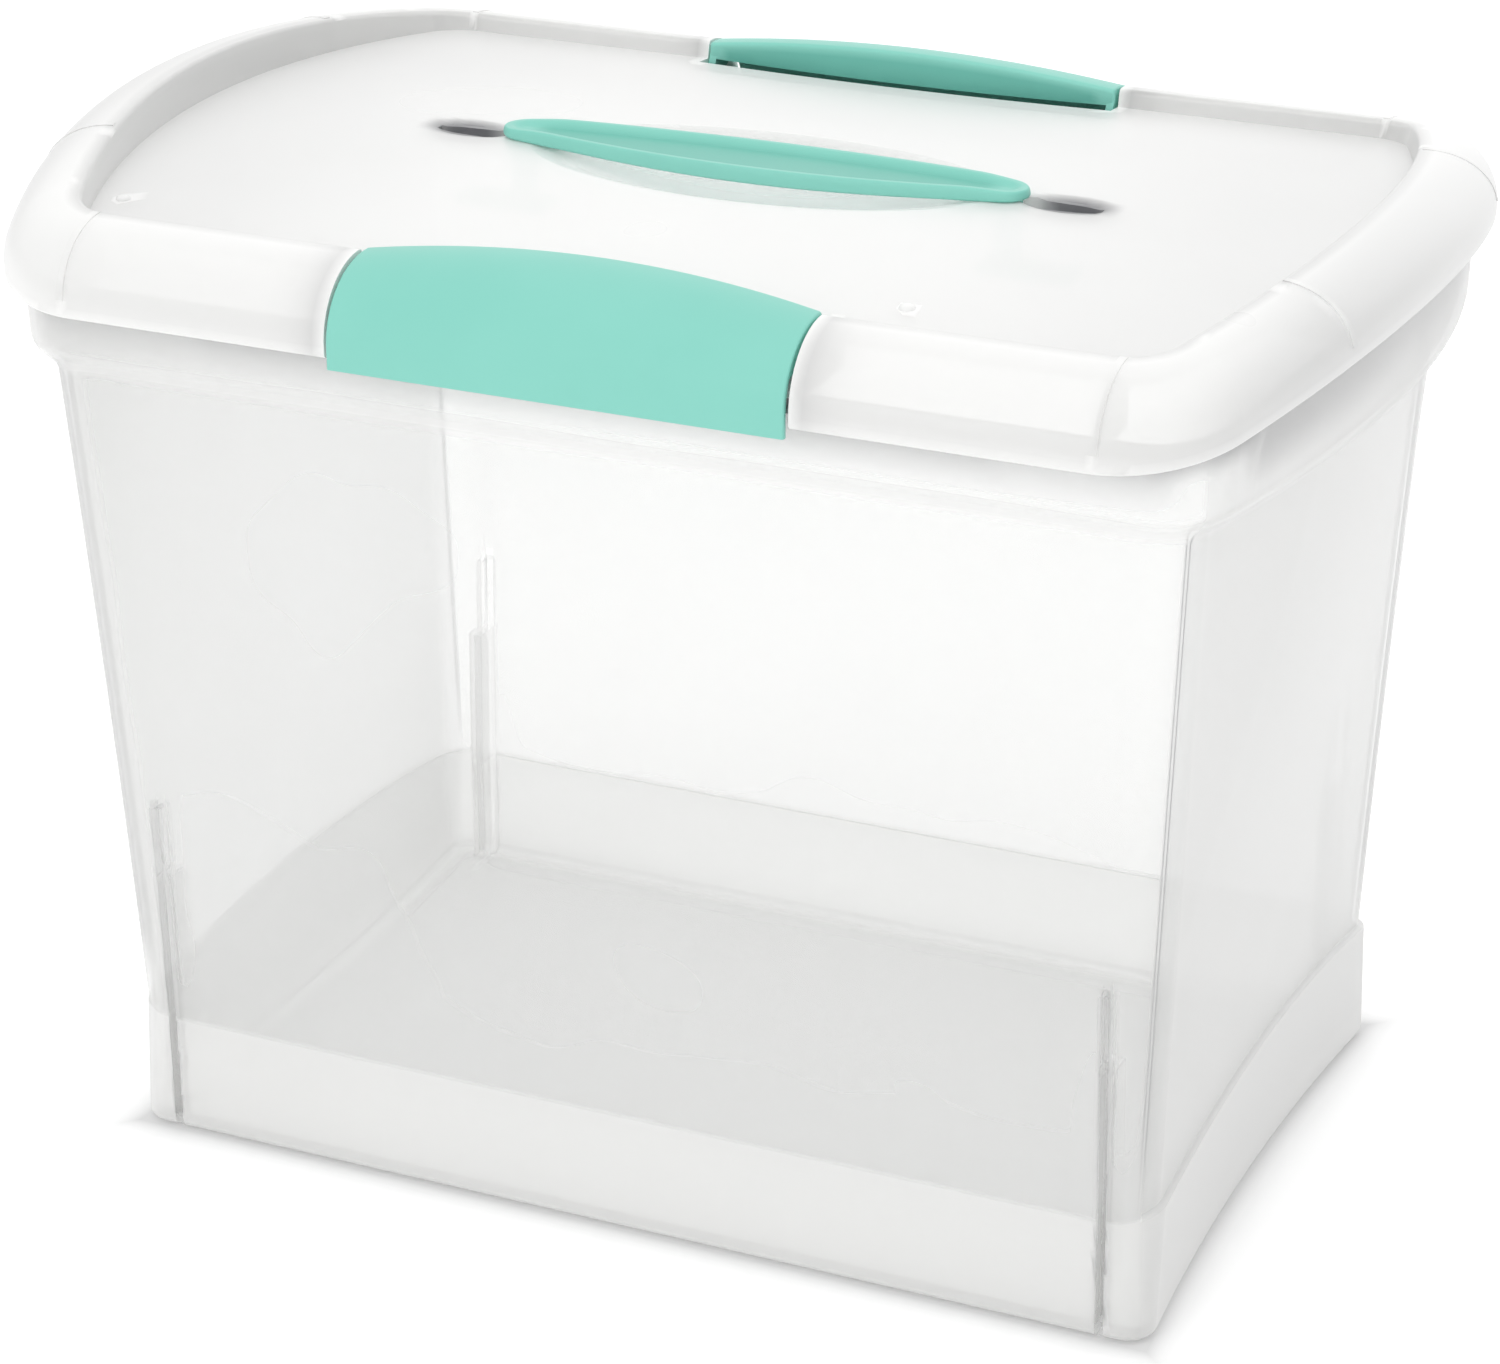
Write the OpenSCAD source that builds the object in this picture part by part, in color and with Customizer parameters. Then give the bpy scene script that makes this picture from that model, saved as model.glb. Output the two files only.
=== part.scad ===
// Portable file box: a translucent box with a lift-off lid, two swing latches and a strap handle.
// Origin at the middle of the foot, X along the length, Z up, the front latch towards -Y.
// All sizes are in millimetres and degrees.

/* [Box] */
// Length of the foot between its corner posts
foot_l = 328.8; // [300:0.2:360]
// Depth of the foot
foot_d = 211.4; // [190:0.2:240]
// Height of the frosted band round the foot
band_h = 38; // [20:1:60]
// Height of the walls, from the foot to the collar
wall_h = 248; // [180:1:320]
// Wall thickness of the box
wall = 2; // [1.6:0.1:2.6]
// Lean of the long walls above the band, degrees
wall_draft = 2.7; // [1.5:0.1:3.5]
// Lean of the corner posts above the band, along the box, degrees
post_draft = 3.2; // [2:0.1:4]
// Radius of the upright corners at the foot
foot_r = 9; // [7:0.5:20]
// Radius of the upright corners at the collar
rim_r = 16; // [12:0.5:20]
// Bow of the ends at the foot, inwards
foot_bow = 4.6; // [0:0.2:8]
// Bow of the ends at the collar, outwards
rim_bow = 15.3; // [8:0.1:20]
// Rise of the band in the middle of the ends
band_rise = 10; // [0:0.5:16]
// How far the end panels are set back between the corner posts
end_recess = 1.8; // [0.4:0.1:2.4]
// How far the long panels are set back between the corner posts
side_recess = 0.9; // [0.2:0.1:1.6]
// How far the walls draw in at half height
belly = 0.8; // [0:0.1:2]

/* [Stacking fins] */
// Distance from the end of the foot to the middle of a fin
fin_in = 14.4; // [12:0.2:60]
// Width of a fin
fin_w = 4.6; // [4:0.1:7]
// Skin of a fin, which is hollow from the outside
fin_skin = 1.3; // [1:0.1:1.8]
// Depth of the lower part of a fin
fin_deep = 9; // [5:0.5:14]
// Depth of the upper part of a fin
fin_shallow = 3.2; // [2:0.2:5]
// Height of the step in a fin
fin_step_z = 86; // [60:1:120]
// Height of the top of a fin
fin_top_z = 111; // [95:1:160]

/* [Collar] */
// How far the collar stands out from the walls
collar_out = 6.5; // [4:0.5:10]
// Height of the slope under the collar
collar_slope = 6; // [4:0.5:12]
// Height of the collar, from the top of the walls to the rim
collar_h = 29; // [22:0.5:40]
// Rise of the rim in the middle of the ends
end_rise = 18; // [6:0.5:22]
// Rise of the foot of the collar in the middle of the ends
collar_rise = 4.4; // [0:0.2:8]
// Width of the rim flange on the long sides
side_flange = 9.4; // [7:0.2:12]
// Width of the rim flange in the middle of the ends
end_flange = 4; // [3:0.2:7]
// Thickness of the rim flange
flange_t = 2.2; // [1.8:0.1:3]

/* [Lid] */
// Wall thickness of the lid
lid_t = 2; // [1.6:0.1:2.6]
// Gap between the rim flange and the skirt of the lid
lid_gap = 1.4; // [0.8:0.1:2.5]
// Gap between the rim flange and the ribs that rest on it
seat_gap = 0.3; // [0.2:0.05:0.5]
// How far the skirt reaches below the rim
skirt_lap = 5; // [4:0.5:8]
// Straight height of the skirt
skirt_h = 3.2; // [2:0.2:6]
// Width of the rounded rim of the lid
rim_w = 21.7; // [18:0.1:26]
// Height of the ridge above the foot of the skirt
ridge_h = 24.3; // [20:0.1:32]
// Rise of the ridge in the middle of the ends
ridge_rise = 11.8; // [4:0.2:16]
// Bow of the ends of the lid
lid_bow = 16.8; // [12:0.1:22]
// Radius of the corners of the lid
lid_r = 37.5; // [34:0.5:48]
// Depth of the top panel below the ridge
panel_sink = 5.3; // [4:0.1:8]
// Crown of the top panel
crown = 5; // [0:0.5:8]
// Thickness of the ribs under the rim
rib_t = 1.5; // [1:0.1:2.5]
// Place of the ribs along the long sides, from the middle
rib_x = 152; // [120:1:160]
// Place of the ribs along the ends, from the middle
rib_y = 68; // [50:1:80]

/* [Finger dish] */
// Half length of the dish under the handle
dish_l = 72; // [50:1:90]
// Half width of the dish under the handle
dish_w = 33; // [22:1:45]
// Depth of the dish
dish_h = 10; // [7:0.5:14]

/* [Latches] */
// Length of a latch
latch_l = 135; // [100:1:170]
// Gap between a latch and each cheek of its bay
latch_side_gap = 1.8; // [1:0.1:3]
// Skin of a latch
latch_t = 2.2; // [1.8:0.1:3]
// How far a latch stands proud of the rim of the lid
latch_proud = 1; // [0.4:0.1:2]
// How far a latch reaches below the skirt
latch_drop = 2.8; // [1:0.1:5]
// Rise of the crown of a latch above the ridge, in its middle
crown_rise = 5.2; // [2:0.1:8]
// How far the crown of a latch bulges over the panel
crown_bulge = 3.6; // [1:0.1:6]
// Gap between the crown of a latch and the edge of the panel
crown_gap = 5.8; // [5.4:0.1:8]
// Radius of the hinge pins
pin_r = 2; // [1.5:0.1:3]
// Radial clearance of the hinge pins
pin_gap = 0.06; // [0.03:0.01:0.1]
// Wall round the hinge pins
boss_wall = 1.7; // [1.4:0.1:2.2]
// Height of the catch at the foot of a latch
catch_h = 2.2; // [1.4:0.1:3]
// Gap between the catch and the rim flange
catch_gap = 0.3; // [0.2:0.05:0.6]

/* [Handle] */
// Length of the strap handle
handle_l = 165; // [140:1:200]
// Width of the strap handle in its middle
handle_w = 25; // [20:0.5:34]
// Height of the lips of the strap
lip_h = 3.8; // [3:0.1:6]
// Thickness of the web between the lips
web_t = 2.4; // [1.8:0.1:3.4]
// Rise of the strap in its middle
strap_rise = 0.8; // [0:0.1:4]
// Gap between the strap and the panel
strap_gap = 0.3; // [0.2:0.05:0.6]
// How far the handle pulls up
handle_travel = 14; // [8:0.5:16]
// Length of a leg along the handle
leg_l = 7; // [5:0.5:10]
// Thickness of a leg across the handle
leg_t = 3.4; // [2.4:0.2:5]
// Distance between the middles of the legs
leg_pitch = 153; // [130:1:186]
// Clearance of a leg in its slot
leg_gap = 0.5; // [0.3:0.1:1]
// How far the slots of the legs run on beyond the tips of the strap
slot_run = 22; // [8:1:24]
// Width of the slots beyond the tips of the strap
slot_w = 8; // [5:0.2:8.6]
// Length of a foot
foot_len = 28; // [16:1:36]
// Width of a foot
foot_w = 12; // [10:0.5:16]
// Thickness of a foot
foot_t = 2.5; // [2:0.1:4]

/* [Hidden] */

guide_h = 4;            // depth of the guides round the slots of the legs
guide_wall = 1.8;

clear_plastic = [0.93, 0.94, 0.95, 0.6];
teal = [0.55, 0.84, 0.78];

end_n = 7;              // steps along half an end
corner_n = 4;           // steps along half a corner
post_split = 0.6;       // half width of the crease beside a corner post, degrees of corner
blend = [0, 3, 11];     // run-out of the long panels beside a corner post
side_n = 6;             // steps along half a long side of the lid

// Levels of the box: [half length at the posts, half depth, bow of the ends, corner radius]
band_lean = 0.2;        // the band stands almost upright
foot_level = [foot_l / 2, foot_d / 2, -foot_bow, foot_r];
band_level = [foot_l / 2 + band_lean, foot_d / 2 + band_lean, -0.8, foot_r + 5];
lean = (wall_h - band_h) * tan(wall_draft);
post_lean = (wall_h - band_h) * tan(post_draft);
rim_level = [band_level[0] + post_lean, band_level[1] + lean, rim_bow, rim_r];
mid_level = (band_level + rim_level) / 2;

rim_z = wall_h + collar_h;                 // top of the rim on the long sides
collar_lean = 1;                           // draft of the collar
collar_grow = collar_out + collar_lean;    // collar at the rim, out from the walls
flange_level = [
    rim_level[0] + rim_bow + collar_grow + end_flange - lid_bow,
    rim_level[1] + collar_grow + side_flange,
    lid_bow,
    lid_r - lid_gap - lid_t
];
lid_level = [
    flange_level[0] + lid_gap + lid_t,
    flange_level[1] + lid_gap + lid_t,
    lid_bow,
    lid_r
];
lid_hw = lid_level[1];
skirt_z = rim_z - skirt_lap;
ridge_z = skirt_z + ridge_h;
panel_z = ridge_z - panel_sink;            // panel at its long edges
ridge_flat = 1;                            // width of the top of the ridge
wall_lean = 1.6;                           // run of the inner wall of the ridge
panel_in = rim_w + ridge_flat + wall_lean; // panel edge, in from the skirt
panel_hw = lid_hw - panel_in;

// Hinge and bay of a latch, for the front one; the back one is its mirror
latch_hl = latch_l / 2;
bay_hl = latch_hl + latch_side_gap;
hinge_y = -(lid_hw - rim_w - ridge_flat);
hinge_z = ridge_z - 9.8;
boss_r = pin_r + boss_wall;
crown_y = -(lid_hw - rim_w - ridge_flat - latch_t);  // inner face of a latch at its ends
bay_floor_z = hinge_z - boss_r - 1.8;
panel_mid_z = panel_z - lid_t / 2;

strap_z = panel_z + crown + strap_gap;     // underside of the strap at its ends
guide_z = panel_z + crown - lid_t / 2 - guide_h;  // foot of the guides round the slots
foot_z = guide_z - strap_gap - handle_travel;     // top of the feet

// ---- outline of a level ----

// Points of a quarter outline, from the middle of the end to the middle of the long side.
// The end is an arc of the given bow, and the corner is an arc tangent to it and to the side.
// in: inset. er, sr: extra inset of the end panel and of the long panel.
// plain: a side without a set-back panel, with its points evenly spread.
// Each point is [x, y, k], where k is 1 in the middle of the end and 0 from the corner's end on.
function quarter(lv, in = 0, er = 0, sr = 0, plain = false) =
    let (
        half = lv[1] - lv[3],
        flat = abs(lv[2]) < 0.01,
        re = flat ? 1 : (half * half + lv[2] * lv[2]) / (2 * lv[2]),
        xc = lv[0] + lv[2] - re,
        reach = sqrt(pow(re - lv[3], 2) - half * half),
        cx = flat ? lv[0] - lv[3] : xc + (re > 0 ? reach : -reach),
        a0 = flat ? 0 : (re > 0 ? 1 : -1) * atan2(half, reach),
        hw = lv[1] - in,
        rc = lv[3] - in,
        post = 45
    )
    [
        for (i = [0:end_n])
            let (
                a = a0 * i / end_n,
                x = flat ? lv[0] - in - er : xc + (re - in - er) * cos(a),
                y = flat ? half * i / end_n : (re - in - er) * sin(a)
            )
            [x, y, 1 - pow(y / hw, 2)],
        for (i = [1:corner_n])
            let (
                a = a0 + (post - post_split - a0) * i / corner_n,
                x = cx + (rc - er) * cos(a),
                y = half + (rc - er) * sin(a)
            )
            [x, y, 1 - pow(y / hw, 2)],
        for (i = [0:corner_n - 1])
            let (
                a = post + post_split + (90 - post - post_split) * i / corner_n,
                x = cx + rc * cos(a),
                y = half + rc * sin(a)
            )
            [x, y, 1 - pow(y / hw, 2)],
        if (plain)
            for (i = [0:side_n - 1]) [cx * (1 - i / side_n), hw, 0],
        if (!plain)
            for (b = blend) [cx - b, hw - sr * b / blend[2], 0],
        [0, hw - sr, 0]
    ];

// The whole outline, turned round the four quarters
function around(q) =
    let (n = len(q))
    concat(
        q,
        [for (i = [n - 2:-1:0]) [-q[i][0], q[i][1], q[i][2]]],
        [for (i = [1:n - 1]) [-q[i][0], -q[i][1], q[i][2]]],
        [for (i = [n - 2:-1:1]) [q[i][0], -q[i][1], q[i][2]]]
    );

// One ring of a shell: the outline at height z, with the middle of the ends raised
function ring(lv, in, z, rise = 0, er = 0, sr = 0) =
    [for (p = around(quarter(lv, in, er, sr))) [p[0], p[1], z + rise * p[2]]];

function flat_points(pts) = [for (p = pts) [p[0], p[1]]];

// Closed skin through rings of equal length; the first and last rings are closed to their middles
module skin(rings) {
    m = len(rings);
    n = len(rings[0]);
    mid_first = [0, 0, rings[0][n / 4][2]];
    mid_last = [0, 0, rings[m - 1][n / 4][2]];
    pts = concat([for (r = rings) each r], [mid_first, mid_last]);
    sides = [
        for (j = [0:m - 2], i = [0:n - 1])
            let (k = (i + 1) % n, a = j * n + i, b = j * n + k, c = (j + 1) * n + k, d = (j + 1) * n + i)
            each [[a, c, b], [a, d, c]]
    ];
    caps = [
        for (i = [0:n - 1])
            let (k = (i + 1) % n)
            each [[m * n, i, k], [m * n + 1, (m - 1) * n + k, (m - 1) * n + i]]
    ];
    polyhedron(points = pts, faces = concat(sides, caps), convexity = 12);
}

// ---- box ----

floor_t = 2.4;
foot_round = 2.2;       // rounding of the foot
floor_round = 2.6;      // rounding between floor and walls
ledge = 0.8;            // height of the ledge over the band

module box_shell() {
    skin([
        ring(foot_level, foot_round, 0.5),
        ring(foot_level, foot_round / 3, 1.2),
        ring(foot_level, 0, 3.4),
        ring(band_level, 0, band_h, band_rise),
        ring(band_level, 0, band_h + ledge, band_rise, end_recess, side_recess),
        ring(mid_level, belly, (band_h + wall_h) / 2, (band_rise + collar_rise) / 2, end_recess, side_recess),
        ring(rim_level, 0, wall_h, collar_rise, end_recess, side_recess),
        ring(rim_level, -collar_out, wall_h + collar_slope, collar_rise),
        ring(rim_level, -collar_grow, rim_z - flange_t, end_rise),
        ring(flange_level, 0, rim_z - flange_t, end_rise),
        ring(flange_level, 0, rim_z - 0.5, end_rise),
        ring(flange_level, 0.5, rim_z, end_rise),
        ring(rim_level, wall - collar_grow, rim_z, end_rise),
        ring(rim_level, wall - collar_out, wall_h + collar_slope + 1, collar_rise),
        ring(rim_level, wall, wall_h + 1, collar_rise, end_recess, side_recess),
        ring(mid_level, wall + belly, (band_h + wall_h) / 2, (band_rise + collar_rise) / 2, end_recess, side_recess),
        ring(band_level, wall, band_h + ledge, band_rise, end_recess, side_recess),
        ring(band_level, wall, band_h, band_rise),
        ring(foot_level, wall, floor_t + floor_round),
        ring(foot_level, wall + floor_round / 4, floor_t + floor_round / 3),
        ring(foot_level, wall + floor_round, floor_t)
    ]);
}

// Depth of the inner face of the long walls at height z
function wall_y(z) =
    let (t = max(0, z - band_h) / (wall_h - band_h))
    band_level[1] + lean * t - side_recess - wall;

// Side view of a fin or of its groove: root line, free edge and step, as [y, z] points
function fin_side(root, deep, shallow, low, step, top) = [
    [root + wall_y(low), low],
    [wall_y(low) - deep, low],
    [wall_y(step) - deep, step],
    [wall_y(step) - shallow, step],
    [wall_y(top) - shallow, top],
    [root + wall_y(top), top]
];

// Front view of a fin: an upright strip with a round top
module fin_front(w, low, top) {
    translate([0, foot_d])
        rotate([90, 0, 0])
            linear_extrude(2 * foot_d)
                union() {
                    translate([-w / 2, low])
                        square([w, top - low - w / 2]);
                    translate([0, top - w / 2])
                        circle(d = w, $fn = 24);
                }
}

module fin_bar(w, root, deep, shallow, low, step, top) {
    intersection() {
        translate([-w / 2, 0, 0])
            rotate([90, 0, 90])
                linear_extrude(w)
                    polygon(fin_side(root, deep, shallow, low, step, top));
        fin_front(w, low, top);
    }
}

module at_fins() {
    for (sx = [-1, 1], back = [0, 1])
        mirror([0, back, 0])
            mirror([0, 1, 0])
                translate([sx * (foot_l / 2 - fin_in), 0, 0])
                    children();
}

module box_body() {
    color(clear_plastic)
        difference() {
            union() {
                box_shell();
                // flat rest under the floor
                linear_extrude(floor_t)
                    polygon(flat_points(ring(foot_level, foot_round + 0.8, 0)));
                at_fins()
                    fin_bar(fin_w, wall / 2, fin_deep, fin_shallow, floor_t / 2, fin_step_z, fin_top_z);
            }
            // the fins are hollow from the outside
            at_fins()
                fin_bar(fin_w - 2 * fin_skin, 4 * wall, fin_deep - fin_skin, fin_shallow - fin_skin,
                    floor_t + 2 * fin_skin, fin_step_z - fin_skin, fin_top_z - fin_skin);
        }
}

// ---- lid ----

round_n = 6;            // steps round the rim

// Section of the rim of the lid as [inset, height over the skirt] points, from the skirt to the ridge.
// t: depth under the outer face.
function rim_curve(t) = [
    for (i = [0:round_n])
        let (a = 90 * i / round_n)
        [
            rim_w - (rim_w - t) * cos(a),
            skirt_h + (ridge_h - skirt_h - t) * sin(a)
        ]
];

// Rise of the middle of the ends at height h over the foot of the skirt
function rim_rise(h) =
    end_rise + (ridge_rise - end_rise) * min(1, max(0, h - skirt_h) / (ridge_h - skirt_h));

function rim_ring(p) = [
    for (q = around(quarter(lid_level, p[0], 0, 0, true)))
        [q[0], q[1], skirt_z + p[1] + rim_rise(p[1]) * q[2]]
];

// Height of the top face of the panel, with its crown and the finger dish
function panel_top(x, y) =
    let (g = pow(x / dish_l, 2) + pow(y / dish_w, 2))
    panel_z + crown * (1 - pow(y / panel_hw, 2)) - dish_h * pow(max(0, 1 - g), 1.2);

// A ring of the panel, t below its top face. From u = 0 to 1 it runs from the edge of the panel,
// at inset in, to the edge of the finger dish; from u = 1 to 2 it runs on to the middle of the dish.
function panel_ring(in, u, t) = [
    for (p = around(quarter(lid_level, in, 0, 0, true)))
        let (
            a = atan2(p[1] / dish_w, p[0] / dish_l),
            d = [dish_l * cos(a), dish_w * sin(a)],
            v = min(1, u),
            q = [p[0] + (d[0] - p[0]) * v, p[1] + (d[1] - p[1]) * v] * min(1, 2 - u)
        )
        [q[0], q[1], panel_top(q[0], q[1]) - t]
];

panel_steps = [0.35, 0.7, 1, 1.12, 1.26, 1.42, 1.6, 1.8];

module lid_shell() {
    under = rim_curve(lid_t);
    outer = rim_curve(0);
    skin(concat(
        [for (i = [len(panel_steps) - 1:-1:0]) panel_ring(panel_in - lid_t, panel_steps[i], lid_t)],
        [panel_ring(panel_in - lid_t, 0, lid_t)],
        [for (i = [round_n:-1:0]) rim_ring(under[i])],
        [rim_ring([lid_t, 0]), rim_ring([0, 0])],
        [for (i = [0:round_n]) rim_ring(outer[i])],
        [rim_ring([rim_w + ridge_flat, ridge_h])],
        [panel_ring(panel_in, 0, 0)],
        [for (u = panel_steps) panel_ring(panel_in, u, 0)]
    ));
}

// Lift of the rim at inset in and height h, on the ray at angle a across an end; none on a long side
function rim_lift(a, in, h) =
    a == 0 ? 0 : rim_rise(h) * (1 - pow((end_r - in) * sin(a) / (lid_hw - in), 2));

// Section under the outer face of the rim, t deep, as [outward, z] points. It reaches down to
// z = low and inwards to depth.
function rim_section(a, t, low, depth) = concat(
    [[-t, low]],
    [
        for (p = rim_curve(t))
            let (z = skirt_z + p[1] + rim_lift(a, p[0], p[1]))
            if (z > low + 0.2)
                [-p[0], z]
    ],
    [
        [-rim_w - ridge_flat / 2, ridge_z + rim_lift(a, rim_w, ridge_h) - lid_t / 2],
        [-panel_in + lid_t / 2, panel_mid_z + (a == 0 ? 0 : rim_lift(a, rim_w, ridge_h) * 0.4)],
        [-depth, panel_mid_z],
        [-depth, low]
    ]
);

// Upright plate with a [outward, z] outline, t thick, standing across the rim at [x, y] and facing angle a
module rim_plate(x, y, a, t, outline) {
    translate([x, y, 0])
        rotate([90, 0, a])
            translate([0, 0, -t / 2])
                linear_extrude(t)
                    polygon(outline);
}

// Arc of the ends of the lid
end_half = lid_level[1] - lid_level[3];
end_r = (end_half * end_half + lid_bow * lid_bow) / (2 * lid_bow);
bead = 0.3;             // how far the ribs show on the outside

// Ribs under the rim, resting on the flange of the box
module rim_ribs() {
    a = asin(rib_y / end_r);
    seat = rim_z + seat_gap;
    end_seat = seat + end_rise * (1 - pow((end_r - lid_gap - lid_t) * sin(a) / flange_level[1], 2));
    for (sx = [-1, 1], sy = [-1, 1]) {
        rim_plate(sx * rib_x, sy * lid_hw, sy * 90, rib_t, rim_section(0, -bead, seat, rim_w + ridge_flat));
        rim_plate(sx * (lid_level[0] + lid_bow - end_r * (1 - cos(a))), sy * rib_y, 90 - sx * (90 - sy * a), rib_t,
            rim_section(a, -bead, end_seat, rim_w + ridge_flat));
    }
}

// Inner face of a latch in plan, y at x, moved towards the middle of the lid by off
function crown_edge(x, off) =
    crown_y + crown_bulge * (1 - pow(min(1, abs(x) / latch_hl), 2)) + off;

arc_steps = [for (i = [-8:8]) i / 8];

// Plan of the bay: from the edge of the panel out past the skirt
function bay_plan(off, hl) = concat(
    [for (s = arc_steps) [s * hl, crown_edge(s * hl, off)]],
    [[hl, -lid_hw - 10], [-hl, -lid_hw - 10]]
);

boss_len = 3;           // length of a boss beyond its cheek

module bay_cut() {
    translate([0, 0, bay_floor_z])
        linear_extrude(ridge_h + 30)
            polygon(bay_plan(crown_gap, bay_hl));
    translate([-bay_hl, -lid_hw - 10, skirt_z - 5])
        cube([2 * bay_hl, 10 + lid_t + lid_gap, bay_floor_z - skirt_z + 6]);
}

// Floor, back wall and cheeks of the bay, with the bosses for the hinge pins
module bay_lining() {
    t = lid_t;
    // back wall along the edge of the panel
    translate([0, 0, bay_floor_z - t])
        linear_extrude(panel_mid_z - bay_floor_z + t)
            difference() {
                polygon(bay_plan(crown_gap + t, bay_hl + t));
                polygon(bay_plan(crown_gap, bay_hl));
                translate([-bay_hl - 2 * t, -lid_hw - 20])
                    square([2 * bay_hl + 4 * t, 20 + lid_hw + crown_edge(bay_hl, crown_gap)]);
            }
    // floor
    translate([0, 0, bay_floor_z - t])
        linear_extrude(t)
            intersection() {
                polygon(bay_plan(crown_gap + t / 2, bay_hl + t / 2));
                translate([-bay_hl - t, -lid_hw + 2 * lid_t])
                    square([2 * bay_hl + 2 * t, lid_hw]);
            }
    for (sx = [-1, 1]) {
        // cheek
        rim_plate(sx * (bay_hl + t / 2), -lid_hw, -90, t,
            rim_section(0, t / 2, bay_floor_z - t, lid_hw + crown_edge(bay_hl, crown_gap + t)));
        // boss on the far side of the cheek
        translate([sx * (bay_hl + t / 2), hinge_y, hinge_z])
            rotate([0, sx * 90, 0])
                cylinder(r = boss_r, h = boss_len + t / 2, $fn = 48);
    }
}

module pin_holes() {
    for (sx = [-1, 1])
        translate([sx * (bay_hl - 1), hinge_y, hinge_z])
            rotate([0, sx * 90, 0])
                cylinder(r = pin_r + pin_gap, h = boss_len + lid_t + 2, $fn = 48);
}

// Plan of a slot for a leg: snug round the leg, wider beyond the tip of the strap
module slot_plan(off) {
    x0 = leg_pitch / 2 - leg_l / 2 - leg_gap;
    x1 = leg_pitch / 2 + leg_l / 2 + leg_gap;
    x2 = handle_l / 2 + slot_run;
    offset(delta = off)
        polygon([
            [x0, -leg_t / 2 - leg_gap], [x1, -leg_t / 2 - leg_gap], [x1 + 3, -slot_w / 2],
            [x2 - 6, -slot_w / 2 + 1], [x2, -1], [x2, 1], [x2 - 6, slot_w / 2 - 1],
            [x1 + 3, slot_w / 2], [x1, leg_t / 2 + leg_gap], [x0, leg_t / 2 + leg_gap]
        ]);
}

module at_tips() {
    for (side = [0, 1])
        mirror([side, 0, 0])
            children();
}

module leg_guides() {
    at_tips()
        translate([0, 0, guide_z])
            linear_extrude(guide_h)
                slot_plan(guide_wall);
}

module leg_slots() {
    at_tips()
        translate([0, 0, guide_z - 1])
            linear_extrude(guide_h + 10)
                slot_plan(0);
}

module lid() {
    color(clear_plastic)
        difference() {
            union() {
                difference() {
                    union() {
                        lid_shell();
                        leg_guides();
                    }
                    bay_cut();
                    mirror([0, 1, 0])
                        bay_cut();
                }
                rim_ribs();
                bay_lining();
                mirror([0, 1, 0])
                    bay_lining();
            }
            leg_slots();
            pin_holes();
            mirror([0, 1, 0])
                pin_holes();
        }
}

// ---- latches ----

station_n = 12;

// Section of the skin of a latch at x, t under its outer face, from the foot to the crown
function latch_curve(x, t) =
    let (
        u = 1 - pow(x / latch_hl, 2),
        top_y = crown_edge(x, -t),
        top_z = ridge_z + crown_rise * u - t,
        out_y = -(lid_hw + latch_proud - t),
        low_z = skirt_z + skirt_h
    )
    concat(
        [[out_y, skirt_z - latch_drop]],
        [
            for (i = [0:round_n])
                let (a = 90 * i / round_n)
                [
                    top_y - latch_t - (top_y - latch_t - out_y) * cos(a),
                    low_z + (top_z - low_z) * sin(a)
                ]
        ],
        [[top_y, top_z - 0.6]],
        [[top_y, ridge_z - panel_sink + 2.2]]
    );

// Closed outline of one station: outer face up, inner face down
function latch_station(x) =
    let (a = latch_curve(x, 0), b = latch_curve(x, latch_t))
    concat([for (p = a) [x, p[0], p[1]]], [for (i = [len(b) - 1:-1:0]) [x, b[i][0], b[i][1]]]);

// Skin through the stations, with both ends closed
module latch_shell() {
    xs = [for (i = [0:station_n]) latch_hl * (2 * i / station_n - 1)];
    rings = [for (x = xs) latch_station(x)];
    m = len(rings);
    n = len(rings[0]);
    half = n / 2;
    sides = [
        for (j = [0:m - 2], i = [0:n - 1])
            let (k = (i + 1) % n, a = j * n + i, b = j * n + k, c = (j + 1) * n + k, d = (j + 1) * n + i)
            each [[a, b, c], [a, c, d]]
    ];
    ends = [
        for (i = [0:half - 2])
            let (a = i, b = i + 1, c = n - 2 - i, d = n - 1 - i, s = (m - 1) * n)
            each [[a, c, b], [a, d, c], [s + a, s + b, s + c], [s + a, s + c, s + d]]
    ];
    polyhedron(points = [for (r = rings) each r], faces = concat(sides, ends), convexity = 8);
}

ear_t = 2.4;

// Ear that carries a hinge pin, from the pin up to the skin, as [y, z] points
function ear_outline(x) =
    let (c = latch_curve(x, latch_t / 2), n = len(c))
    concat(
        [[hinge_y - boss_r, hinge_z], [hinge_y - boss_r - 3, hinge_z + 2]],
        [for (i = [4:n - 2]) c[i]],
        [[hinge_y + boss_r, hinge_z + 3], [hinge_y + boss_r, hinge_z]]
    );

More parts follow.
